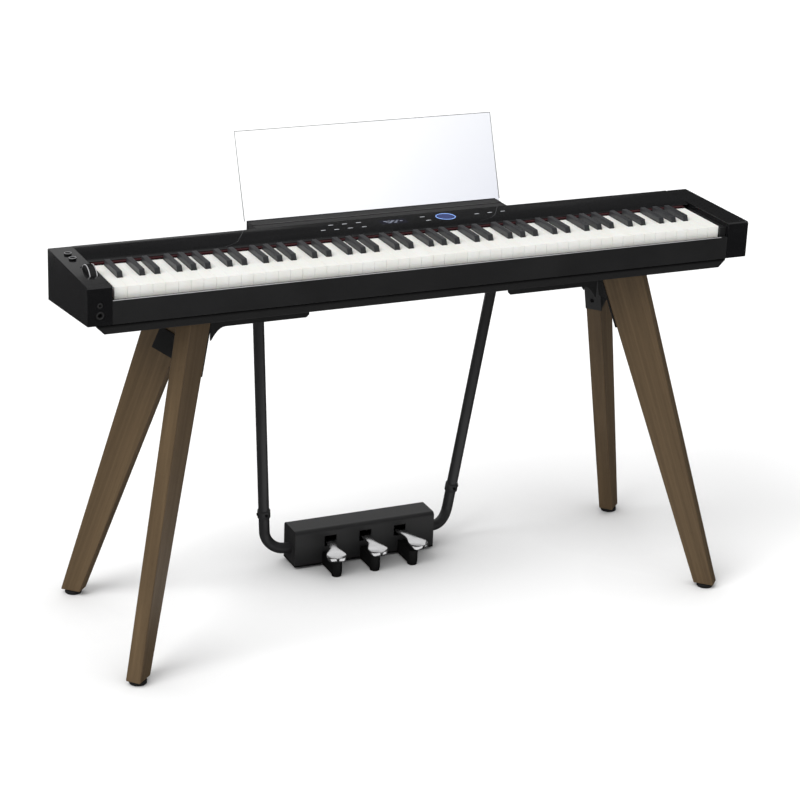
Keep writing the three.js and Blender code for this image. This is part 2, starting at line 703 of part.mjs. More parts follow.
// ---------------------------------------------------------------- keys
// Letters from A, because the lowest key is an A. The white keys come in groups, C to E and
// F to B. In a group the tails between the black keys and the black keys are equally wide.
const LETTERS = ['A', 'B', 'C', 'D', 'E', 'F', 'G'];
const SHARP_GROUPS = {
  C: { place: 0, whites: 3 },
  D: { place: 1, whites: 3 },
  F: { place: 0, whites: 4 },
  G: { place: 1, whites: 4 },
  A: { place: 2, whites: 4 },
};

function letterOf(white) {
  return LETTERS[white % LETTERS.length];
}

function hasSharp(white) {
  return white >= 0 && white < WHITE_COUNT - 1 && letterOf(white) in SHARP_GROUPS;
}

function sharpCentre(white) {
  const { place, whites } = SHARP_GROUPS[letterOf(white)];
  const tail = (whites * WHITE_PITCH) / (2 * whites - 1);
  return KEYS_LEFT + (white - place) * WHITE_PITCH + (2 * place + 1.5) * tail;
}

function whiteKey(white) {
  const left = KEYS_LEFT + white * WHITE_PITCH + KEY_GAP / 2;
  const right = left + WHITE_PITCH - KEY_GAP;
  const back = PIVOT_Y + KEY_TAIL_END;
  const step = KEY_FRONT + BLACK_SETBACK - BLACK_SIDE_GAP;
  const notch = BLACK_WIDTH / 2 + BLACK_SIDE_GAP;
  const points = [[left, KEY_FRONT], [right, KEY_FRONT]];
  if (hasSharp(white)) {
    const edge = sharpCentre(white) - notch;
    points.push([right, step], [edge, step], [edge, back]);
  } else {
    points.push([right, back]);
  }
  if (hasSharp(white - 1)) {
    const edge = sharpCentre(white - 1) + notch;
    points.push([edge, back], [edge, step], [left, step]);
  } else {
    points.push([left, back]);
  }
  const blank = toSolid(alongZ(outline(points), KEY_BOTTOM, WHITE_TOP));
  const lowered = box(
    [left - PAST, right + PAST],
    [KEY_VISIBLE_END, back + PAST],
    [KEY_TAIL_TOP, WHITE_TOP + PAST],
  );
  return blank.subtract(lowered);
}

function blackKey(white) {
  const front = KEY_FRONT + BLACK_SETBACK;
  const back = PIVOT_Y + KEY_TAIL_END;
  const tail = KEY_VISIBLE_END + BLACK_TAIL_START;
  const profile = [
    [front, KEY_BOTTOM],
    [back, KEY_BOTTOM],
    [back, KEY_BOTTOM + BLACK_TAIL_HEIGHT],
    [tail, KEY_BOTTOM + BLACK_TAIL_HEIGHT],
    [tail, KEY_TAIL_TOP],
    [KEY_VISIBLE_END, KEY_TAIL_TOP],
    [KEY_VISIBLE_END, WHITE_TOP + BLACK_RISE],
    [front + BLACK_FRONT_SLOPE, WHITE_TOP + BLACK_RISE],
    [front, WHITE_TOP],
  ];
  const [x0, x1] = span(sharpCentre(white), BLACK_WIDTH);
  return toSolid(alongX(profile, x0, x1));
}

// White keys from first to last, joined over the black tails in front of the hinge line.
function whiteBank(first, last) {
  const keys = [];
  for (let white = first; white <= last; white += 1) {
    keys.push(whiteKey(white));
  }
  const barFront = PIVOT_Y - BANK_BAR_SETBACK;
  const bar = box(
    [KEYS_LEFT + (first + 0.5) * WHITE_PITCH, KEYS_LEFT + (last + 0.5) * WHITE_PITCH],
    [barFront, barFront + BANK_BAR_DEPTH],
    [KEY_BOTTOM + BLACK_TAIL_HEIGHT + BANK_BAR_CLEARANCE, KEY_TAIL_TOP],
  );
  return unite([bar, ...keys]);
}

// Black keys whose left-hand white key is first to last, joined behind the white tails.
function blackBank(first, last) {
  const sharps = [];
  for (let white = first; white <= last; white += 1) {
    if (hasSharp(white)) {
      sharps.push(white);
    }
  }
  const barFront = PIVOT_Y + KEY_TAIL_END + BLACK_BAR_CLEARANCE;
  const zs = [KEY_BOTTOM, KEY_BOTTOM + BLACK_TAIL_HEIGHT];
  const tails = sharps.map((white) =>
    box(span(sharpCentre(white), BLACK_WIDTH), [PIVOT_Y, barFront + BLACK_BAR_DEPTH], zs),
  );
  const ends = [sharpCentre(sharps[0]), sharpCentre(sharps[sharps.length - 1])];
  const bar = box(ends, [barFront, barFront + BLACK_BAR_DEPTH], zs);
  return unite([bar, ...tails, ...sharps.map(blackKey)]);
}

function buildKeys(body) {
  const first = FIRST_OCTAVE_WHITE;
  const last = first + LETTERS.length - 1;
  add(body, 'white_keys_bass', 'white', whiteBank(0, first - 1));
  add(body, 'black_keys_bass', 'keyBlack', blackBank(0, first - 1));
  for (let white = first; white <= last; white += 1) {
    add(body, `key_${letterOf(white)}`, 'white', whiteKey(white));
    if (hasSharp(white)) {
      add(body, `key_${letterOf(white)}_sharp`, 'keyBlack', blackKey(white));
    }
  }
  add(body, 'white_keys_treble', 'white', whiteBank(last + 1, WHITE_COUNT - 1));
  add(body, 'black_keys_treble', 'keyBlack', blackBank(last + 1, WHITE_COUNT - 1));
}

// ---------------------------------------------------------------- music rest
// The sheet stands in a slot that leans back with it and runs through both ends of the holder.
function leaningSheet(thick, reachDown, length, half) {
  const sheet = new THREE.BoxGeometry(2 * half, thick, length);
  sheet.translate(0, thick / 2, length / 2 - reachDown);
  return sheet.rotateX(-REST_LEAN).translate(0, HOLDER_FRONT + REST_SETBACK, HOLDER_TOP);
}

function restHolder() {
  const half = HOLDER_WIDTH / 2;
  const block = box(
    [-half, half],
    [HOLDER_FRONT, HOLDER_FRONT + HOLDER_DEPTH],
    [HOLDER_TOP - HOLDER_HEIGHT, HOLDER_TOP],
  );
  const slot = leaningSheet(REST_THICK + 2 * GAP, REST_SEAT_DEPTH + GAP, 2 * REST_SEAT_DEPTH, half + PAST);
  slot.translate(0, -GAP / Math.cos(REST_LEAN), 0);
  const line = box(
    [-half - PAST, half + PAST],
    span(HOLDER_FRONT + HOLDER_LINE_Y, HOLDER_LINE),
    [HOLDER_TOP - HOLDER_LINE, HOLDER_TOP + PAST],
  );
  return block.subtract(toSolid(slot)).subtract(line);
}

function buildMusicRest(body) {
  add(body, 'rest_holder', 'caseBlack', restHolder());
  const sheet = leaningSheet(REST_THICK, REST_SEAT_DEPTH, REST_LENGTH, REST_WIDTH / 2);
  add(body, 'music_rest', 'acrylic', sheet);
}

// ---------------------------------------------------------------- stand frame
// Front rail: a folded trough, open to the body above it, with its ends cut back below.
function frontRail() {
  const back = RAIL_FRONT_Y + RAIL_DEPTH;
  const top = (y) => undersideAt(y - BODY_SHIFT_Y) - GAP;
  const half = RAIL_LENGTH / 2;
  const blank = alongX(
    [
      [RAIL_FRONT_Y, RAIL_BOTTOM],
      [back, RAIL_BOTTOM],
      [back, top(back)],
      [RAIL_FRONT_Y, top(RAIL_FRONT_Y)],
    ],
    -half,
    half,
  );
  const highest = top(RAIL_FRONT_Y) + PAST;
  const front = [
    [-half, RAIL_BOTTOM + RAIL_END_CHAMFER],
    [-half + RAIL_END_CHAMFER, RAIL_BOTTOM],
    [half - RAIL_END_CHAMFER, RAIL_BOTTOM],
    [half, RAIL_BOTTOM + RAIL_END_CHAMFER],
    [half, highest],
    [-half, highest],
  ];
  const ends = toSolid(alongY(front, RAIL_FRONT_Y - PAST, back + PAST));
  const trough = box(
    span(0, RAIL_LENGTH - 2 * (RAIL_END_CHAMFER + RAIL_WALL)),
    [RAIL_FRONT_Y + RAIL_WALL, back - RAIL_WALL],
    [RAIL_BOTTOM + RAIL_WALL, highest],
  );
  return toSolid(blank).intersect(ends).subtract(trough);
}

// Square tube with open ends that joins the side plates behind.
function rearBar() {
  const ys = [REAR_BAR_BACK_Y - RAIL_DEPTH, REAR_BAR_BACK_Y];
  const zs = [LEG_TOP - REAR_BAR_HEIGHT, LEG_TOP];
  const tube = box([-REAR_BAR_HALF, REAR_BAR_HALF], ys, zs);
  const bore = box(
    [-REAR_BAR_HALF - PAST, REAR_BAR_HALF + PAST],
    [ys[0] + RAIL_WALL, ys[1] - RAIL_WALL],
    [zs[0] + RAIL_WALL, zs[1] - RAIL_WALL],
  );
  return tube.subtract(bore);
}

// Where the right-hand corner bracket crosses the line y = CHANNEL_HALF at a height.
function bracketX(z) {
  const along = bracketInner(z);
  const across = (along * Math.cos(LEG_AZIMUTH) - CHANNEL_HALF) / Math.sin(LEG_AZIMUTH);
  return along * Math.sin(LEG_AZIMUTH) + across * Math.cos(LEG_AZIMUTH);
}

// One side of the channel, with the rounded corner under its outer end.
function channelFlange(top) {
  const outerX = bracketX(LEG_TOP) - 2 * GAP;
  const gussetX = outerX - GUSSET_TIP;
  const gussetBottom = CHANNEL_BOTTOM - GUSSET_HEIGHT;
  const shape = new THREE.Shape();
  shape.moveTo(PLATE_INNER_X, top);
  shape.lineTo(PLATE_INNER_X, CHANNEL_BOTTOM + CHANNEL_CHAMFER);
  shape.lineTo(PLATE_INNER_X + CHANNEL_CHAMFER, CHANNEL_BOTTOM);
  shape.lineTo(gussetX - GUSSET_RUN, CHANNEL_BOTTOM);
  shape.quadraticCurveTo(gussetX - GUSSET_RUN / 2, CHANNEL_BOTTOM, gussetX, gussetBottom);
  shape.lineTo(outerX, gussetBottom);
  shape.lineTo(outerX, top);
  return toSolid(shapeAlongY(shape, -CHANNEL_HALF, CHANNEL_WALL - CHANNEL_HALF));
}

// Right-hand side plate: a flat plate over the leg heads with a channel running inwards under it.
function sidePlate() {
  const plateBottom = FRAME_TOP - PLATE_THICK;
  const plate = box(
    [PLATE_INNER_X, PLATE_OUTER_X],
    [RAIL_FRONT_Y + RAIL_DEPTH + GAP, REAR_BAR_BACK_Y],
    [plateBottom, FRAME_TOP],
  );
  const flange = channelFlange(plateBottom + PAST);
  return unite([plate, flange, mirrorY(flange)]);
}

// ---------------------------------------------------------------- legs
// Distance along the plank of its inner or outer edge at a height.
function legEdge(side, z) {
  const foot = side === 'inner' ? LEG_FOOT_INNER : LEG_FOOT_OUTER;
  const head = side === 'inner' ? LEG_HEAD_INNER : LEG_HEAD_OUTER;
  return foot + ((head - foot) * z) / LEG_TOP;
}

// From the plank's own frame (x outwards along it, y across it) to the back right-hand leg's place.
function toLegPlace(geometry) {
  return geometry.rotateZ(Math.PI / 2 - LEG_AZIMUTH);
}

function legShape() {
  const shape = new THREE.Shape();
  const innerTop = legEdge('inner', LEG_TOP);
  shape.moveTo(legEdge('inner', LEG_BOTTOM), LEG_BOTTOM);
  shape.lineTo(legEdge('outer', LEG_BOTTOM), LEG_BOTTOM);
  shape.lineTo(legEdge('outer', LEG_TOP), LEG_TOP);
  shape.lineTo(innerTop + LEG_CORNER, LEG_TOP);
  const cornerZ = LEG_TOP - LEG_CORNER;
  shape.quadraticCurveTo(innerTop, LEG_TOP, legEdge('inner', cornerZ), cornerZ);
  return shape;
}

// Shape in (along the plank, z), given a thickness across it, in the back right-hand leg's place.
function plankPiece(shape, y0, y1) {
  return toSolid(toLegPlace(shapeAlongY(shape, y0, y1)));
}

function leg() {
  return plankPiece(legShape(), ...span(-LEG_PLANE_OFFSET, LEG_THICK));
}

function legPad() {
  const along = (legEdge('inner', LEG_BOTTOM) + legEdge('outer', LEG_BOTTOM)) / 2;
  return toSolid(toLegPlace(cylinderZ(PAD_RADIUS, along, -LEG_PLANE_OFFSET, [0, PAD_HEIGHT])));
}

// Distance along the plank of the inner face of the corner bracket at a height.
function bracketInner(z) {
  return legEdge('inner', z) - GAP - BRACKET_THICK;
}

// One leaf of a corner bracket: a plate on the inner edge of the plank and a strap on its face.
function bracketLeaf() {
  const [face, back] = span(-LEG_PLANE_OFFSET, LEG_THICK);
  const edgeLow = LEG_TOP - EDGE_PLATE_DROP;
  const edge = [
    [bracketInner(edgeLow), edgeLow],
    [bracketInner(edgeLow) + BRACKET_THICK, edgeLow],
    [bracketInner(LEG_TOP) + BRACKET_THICK, LEG_TOP],
    [bracketInner(LEG_TOP), LEG_TOP],
  ];
  const strapLow = LEG_TOP - STRAP_DROP;
  const start = (z) => bracketInner(z) + BRACKET_THICK / 2;
  const end = start(strapLow) + STRAP_LENGTH;
  const rise = STRAP_SLOPE * STRAP_LENGTH;
  const strap = [
    [start(strapLow), strapLow],
    [end, strapLow + rise],
    [end - STRAP_SLOPE * STRAP_HEIGHT, strapLow + rise + STRAP_HEIGHT],
    [start(strapLow + STRAP_HEIGHT), strapLow + STRAP_HEIGHT],
  ];
  const outer = face - GAP;
  const strapSolid = plankPiece(outline(strap), outer - BRACKET_THICK, outer);
  return strapSolid.add(plankPiece(outline(edge), outer - BRACKET_THICK, back));
}

// Plate across the V of the planks, between the corners of the two leaves.
function bracketWeb() {
  const across = LEG_PLANE_OFFSET + LEG_THICK / 2;
  const corners = [LEG_TOP - WEB_DROP, LEG_TOP].flatMap((z) =>
    [0, BRACKET_THICK].map((thick) => {
      const along = bracketInner(z) + thick;
      const x = along * Math.sin(LEG_AZIMUTH) + across * Math.cos(LEG_AZIMUTH);
      const y = along * Math.cos(LEG_AZIMUTH) - across * Math.sin(LEG_AZIMUTH);
      return [x, y, z];
    }),
  );
  return wasm.Manifold.hull([...corners, ...corners.map(([x, y, z]) => [x, -y, z])]);
}

function cornerBracket() {
  const leaf = bracketLeaf();
  return unite([leaf, mirrorY(leaf), bracketWeb()]);
}

function buildStand(stand) {
  add(stand, 'front_rail', 'steelBlack', frontRail());
  add(stand, 'rear_bar', 'steelBlack', rearBar());
  addPair(stand, 'side_plate', 'steelBlack', sidePlate());
  addPair(stand, 'corner_bracket', 'steelBlack', cornerBracket());
  addPair(stand, 'leg_back', 'wood', leg());
  addPair(stand, 'leg_front', 'wood', mirrorY(leg()));
  addPair(stand, 'leg_pad_back', 'rubber', legPad());
  addPair(stand, 'leg_pad_front', 'rubber', mirrorY(legPad()));
}

// ---------------------------------------------------------------- pedal unit
function boxShape() {
  const back = BOX_FRONT_Y + BOX_DEPTH;
  const shape = new THREE.Shape();
  shape.moveTo(BOX_FRONT_Y, BOX_BOTTOM);
  shape.lineTo(back, BOX_BOTTOM);
  shape.lineTo(back, BOX_TOP - BOX_NOSE);
  shape.absarc(back - BOX_NOSE, BOX_TOP - BOX_NOSE, BOX_NOSE, 0, Math.PI / 2);
  shape.absarc(BOX_FRONT_Y + BOX_NOSE, BOX_TOP - BOX_NOSE, BOX_NOSE, Math.PI / 2, Math.PI);
  return shape;
}

// The pedals, with the place of each on the box and its outward turn.
const PEDALS = {
  pedal_left: { side: -1 },
  pedal_middle: { side: 0 },
  pedal_right: { side: 1 },
};

// Open below; slots for the pedals in front and a hole for a pipe at each end.
function pedalBox() {
  const half = BOX_WIDTH / 2;
  const shell = toSolid(shapeAlongX(boxShape(), -half, half));
  const cavity = box(
    [-half + BOX_WALL, half - BOX_WALL],
    [BOX_FRONT_Y + BOX_WALL, BOX_FRONT_Y + BOX_DEPTH - BOX_WALL],
    [BOX_BOTTOM - PAST, BOX_TOP - BOX_NOSE / 2 - BOX_WALL],
  );
  const dip = PEDAL_PIVOT_SETBACK * Math.tan(PEDAL_DIP);
  const slotZ = [PEDAL_TOP - PEDAL_ARM_HEIGHT - dip - SLOT_BELOW, PEDAL_TOP + SLOT_ABOVE];
  const slotY = [BOX_FRONT_Y - PAST, BOX_FRONT_Y + BOX_WALL + PAST];
  const slots = Object.values(PEDALS).map(({ side }) => {
    const slotX = span(side * PEDAL_PITCH, SLOT_WIDTH);
    return box(slotX, slotY, slotZ);
  });
  const pipeHole = toSolid(cylinderX(PIPE_RADIUS + GAP, BOX_MID_Y, ELBOW_Z, span(0, BOX_WIDTH + 2 * PAST)));
  return shell.subtract(unite([cavity, pipeHole, ...slots]));
}

// Plan of a pedal from its hinge line, forwards along -Y: a neck that widens to a round tread.
function pedalPlan() {
  const neck = PEDAL_NECK_WIDTH / 2;
  const tread = PEDAL_TREAD_WIDTH / 2;
  const tip = -PEDAL_REACH;
  const shoulder = tip + PEDAL_TREAD_LENGTH;
  const waist = tip + PEDAL_TREAD_LENGTH / 3;
  const shape = new THREE.Shape();
  shape.moveTo(neck, PEDAL_PIVOT_SETBACK);
  shape.lineTo(-neck, PEDAL_PIVOT_SETBACK);
  shape.lineTo(-neck, shoulder);
  shape.bezierCurveTo(-neck, waist + tread, -tread, waist + tread, -tread, waist);
  shape.bezierCurveTo(-tread, tip, tread, tip, tread, waist);
  shape.bezierCurveTo(tread, waist + tread, neck, waist + tread, neck, shoulder);
  return shape;
}

// Where a pedal leaves the box: turned outwards, and falling towards the front.
function toPedalPlace(geometry, side) {
  geometry.rotateX(PEDAL_FALL).rotateZ(side * PEDAL_FAN);
  return toSolid(geometry.translate(side * PEDAL_PITCH, BOX_FRONT_Y, PEDAL_TOP));
}

// Middle of a pedal's hub, which lies along the hinge line inside the box.
function hubX(side) {
  return side * (PEDAL_PITCH - PEDAL_PIVOT_SETBACK * Math.tan(PEDAL_FAN));
}

function pedal(side) {
  const place = (geometry) => toPedalPlace(geometry, side);
  const noseEnd = PEDAL_NOSE_LENGTH - PEDAL_REACH;
  const nose = place(alongZ(pedalPlan(), -PEDAL_NOSE_HEIGHT, -PEDAL_THICK / 2)).intersect(
    place(boxGeometry(span(0, 2 * PEDAL_TREAD_WIDTH), [-2 * PEDAL_REACH, noseEnd], [-2 * PEDAL_REACH, 0])),
  );
  const arm = boxGeometry(
    span(0, PEDAL_ARM_WIDTH),
    [noseEnd - PAST, PEDAL_PIVOT_SETBACK],
    [-PEDAL_ARM_HEIGHT, -PEDAL_THICK / 2],
  );
  const hub = cylinderX(PEDAL_HUB_RADIUS, PEDAL_PIVOT_Y, PEDAL_HUB_Z, span(hubX(side), PEDAL_NECK_WIDTH));
  return unite([place(alongZ(pedalPlan(), -PEDAL_THICK, 0)), nose, place(arm), toSolid(hub)]);
}

// Base plate with a walled tongue and a round foot under each pedal, hinge posts and two rear feet.
function pedalBase() {
  const top = BOX_BOTTOM - GAP;
  const low = top - BASE_THICK;
  const back = BOX_FRONT_Y + BOX_DEPTH;
  const footY = BOX_FRONT_Y - TONGUE_REACH;
  const pieces = [box(span(0, BOX_WIDTH), [BOX_FRONT_Y, back], [low, top])];
  for (const { side } of Object.values(PEDALS)) {
    const x = side * TONGUE_PITCH;
    pieces.push(box(span(x, TONGUE_WIDTH), [footY, BOX_FRONT_Y + PAST], [low, top]));
    pieces.push(box(span(x, TONGUE_WIDTH), [footY, BOX_FRONT_Y - GAP], [low, PEDAL_TOP - STOPPER_DROP]));
    pieces.push(toSolid(cylinderZ(TONGUE_WIDTH / 2, x, footY, [low, PEDAL_TOP - STOPPER_DROP])));
    pieces.push(toSolid(cylinderZ(FOOT_RADIUS, x, footY, [0, top])));
    const post = [low, PEDAL_HUB_Z - PEDAL_HUB_RADIUS - GAP];
    pieces.push(box(span(hubX(side), PEDAL_NECK_WIDTH), span(PEDAL_PIVOT_Y, PEDAL_HUB_RADIUS), post));
  }
  for (const side of [-1, 1]) {
    const x = side * (BOX_WIDTH / 2 - REAR_FOOT_INSET);
    pieces.push(toSolid(cylinderZ(FOOT_RADIUS, x, back - REAR_FOOT_SETBACK, [0, top])));
  }
  return unite(pieces);
}

// A point on the centre line of the right-hand pipe, which runs from the rear bar to the bend.
function pipePoint(z) {
  const head = LEG_TOP - PIPE_HEAD_DROP;
  const headY = REAR_BAR_BACK_Y + PIPE_STANDOFF + PIPE_RADIUS;
  const share = (head - z) / (head - ELBOW_Z);
  const footX = BOX_WIDTH / 2 + PIPE_FOOT_INSET;
  const footY = BOX_MID_Y + PIPE_FOOT_SETBACK;
  const x = PIPE_HEAD_X + share * (footX - PIPE_HEAD_X);
  return new THREE.Vector3(x, headY + share * (footY - headY), z);
}

function rod(radius, path, steps) {
  const section = new THREE.Shape().absarc(0, 0, radius, 0, 2 * Math.PI);
  const options = { steps, extrudePath: path, curveSegments: PIPE_SIDES / 2 };
  return toSolid(new THREE.ExtrudeGeometry(section, options));
}

function straightRod(radius, zLow, zHigh) {
  return rod(radius, new THREE.LineCurve3(pipePoint(zLow), pipePoint(zHigh)), 1);
}

// Upper pipe, with the lug that screws to the back of the rear bar.
function upperPipe() {
  const headZ = LEG_TOP - PIPE_HEAD_DROP;
  const head = pipePoint(headZ - PIPE_LUG_HEIGHT / 2);
  const lugLow = LEG_TOP - REAR_BAR_HEIGHT;
  const lug = box(
    span(head.x, 2 * PIPE_LUG_HALF),
    [REAR_BAR_BACK_Y + GAP, head.y],
    [lugLow, lugLow + PIPE_LUG_HEIGHT],
  );
  const bore = straightRod(PIPE_RADIUS - PIPE_WALL, PIPE_JOINT_Z - PAST, headZ + PAST);
  return straightRod(PIPE_RADIUS, PIPE_JOINT_Z, headZ).add(lug).subtract(bore);
}

// From below the collar round to the end of the pedal box; extra lengthens both ends.
function elbowPath(extra) {
  const start = pipePoint(PIPE_JOINT_Z - GAP + extra);
  const bendTop = pipePoint(ELBOW_Z + ELBOW_REACH);
  const bendEnd = new THREE.Vector3(pipePoint(ELBOW_Z).x - ELBOW_REACH, BOX_MID_Y, ELBOW_Z);
  const end = new THREE.Vector3(BOX_WIDTH / 2 - ELBOW_INSIDE - extra, BOX_MID_Y, ELBOW_Z);
  const pullDown = pipePoint(ELBOW_Z + ELBOW_REACH - ELBOW_PULL);
  const pullOut = bendEnd.clone().add(new THREE.Vector3(ELBOW_PULL, 0, 0));
  const path = new THREE.CurvePath();
  path.add(new THREE.LineCurve3(start, bendTop));
  path.add(new THREE.CubicBezierCurve3(bendTop, pullDown, pullOut, bendEnd));
  path.add(new THREE.LineCurve3(bendEnd, end));
  return path;
}

// Lower pipe: bend and collar in one, with the collar sleeved over the upper pipe.
function lowerPipe() {
  const half = COLLAR_HEIGHT / 2;
  const collar = straightRod(PIPE_RADIUS + COLLAR_WALL, PIPE_JOINT_Z - half, PIPE_JOINT_Z + half);
  const sleeve = straightRod(PIPE_RADIUS + GAP, PIPE_JOINT_Z - GAP, PIPE_JOINT_Z + half + PAST);
  const outer = rod(PIPE_RADIUS, elbowPath(0), ELBOW_STEPS);
  const bore = rod(PIPE_RADIUS - PIPE_WALL, elbowPath(PAST), ELBOW_STEPS);
  return outer.add(collar).subtract(bore).subtract(sleeve);
}

function buildPedalUnit(stand) {
  add(stand, 'pedal_box', 'boxGrey', pedalBox());
  add(stand, 'pedal_base', 'caseBlack', pedalBase());
  for (const [name, { side }] of Object.entries(PEDALS)) {
    add(stand, name, 'chrome', pedal(side));
  }
  addPair(stand, 'upper_pipe', 'steelBlack', upperPipe());
  addPair(stand, 'lower_pipe', 'steelBlack', lowerPipe());
}

// ---------------------------------------------------------------- assembly
function buildPiano() {
  const body = new THREE.Group();
  body.position.y = BODY_SHIFT_Y;
  buildCasing(body);
  buildControls(body);
  buildInside(body);
  buildKeys(body);
  buildMusicRest(body);
  return body;
}

const piano = new THREE.Group();
piano.add(buildPiano());
buildStand(piano);
buildPedalUnit(piano);

export default piano;
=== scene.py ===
"""Looks of a slim 88-key digital piano on a wooden stand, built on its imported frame.

Metres. +X runs to the treble end, +Y to the back, +Z up; the floor is at z = 0.
"""

import json
import logging
import math
from dataclasses import dataclass, field
from enum import Enum
from typing import Iterable, Sequence

import bmesh
import bpy
from mathutils import Matrix, Vector

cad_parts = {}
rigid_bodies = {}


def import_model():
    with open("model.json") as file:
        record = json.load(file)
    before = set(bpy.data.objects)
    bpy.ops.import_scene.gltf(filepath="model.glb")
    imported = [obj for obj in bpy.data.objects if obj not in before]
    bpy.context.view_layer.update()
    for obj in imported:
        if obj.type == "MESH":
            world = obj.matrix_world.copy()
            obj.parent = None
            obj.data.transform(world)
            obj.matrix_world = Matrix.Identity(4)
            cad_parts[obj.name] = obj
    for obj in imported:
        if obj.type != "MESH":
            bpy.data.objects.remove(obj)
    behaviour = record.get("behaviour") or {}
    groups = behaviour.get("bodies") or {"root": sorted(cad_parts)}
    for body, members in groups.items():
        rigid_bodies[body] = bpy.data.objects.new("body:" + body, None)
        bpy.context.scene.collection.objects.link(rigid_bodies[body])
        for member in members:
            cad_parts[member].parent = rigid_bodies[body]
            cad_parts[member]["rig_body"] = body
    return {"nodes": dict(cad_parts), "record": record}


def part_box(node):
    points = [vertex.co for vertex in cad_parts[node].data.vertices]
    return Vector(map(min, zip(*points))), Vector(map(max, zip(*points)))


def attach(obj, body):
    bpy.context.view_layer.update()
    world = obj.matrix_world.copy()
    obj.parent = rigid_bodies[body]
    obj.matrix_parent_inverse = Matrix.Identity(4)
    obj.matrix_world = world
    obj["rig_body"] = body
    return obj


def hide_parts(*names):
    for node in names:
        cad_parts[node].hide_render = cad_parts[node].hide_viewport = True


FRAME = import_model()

LOG = logging.getLogger("piano")
CHEEK_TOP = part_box("cheek_left")[1].z
QUARTER = math.pi / 2
FULL = 2 * math.pi
Colour = tuple[float, float, float]
Point = tuple[float, float, float]
Socket = bpy.types.NodeSocket
Node = bpy.types.Node


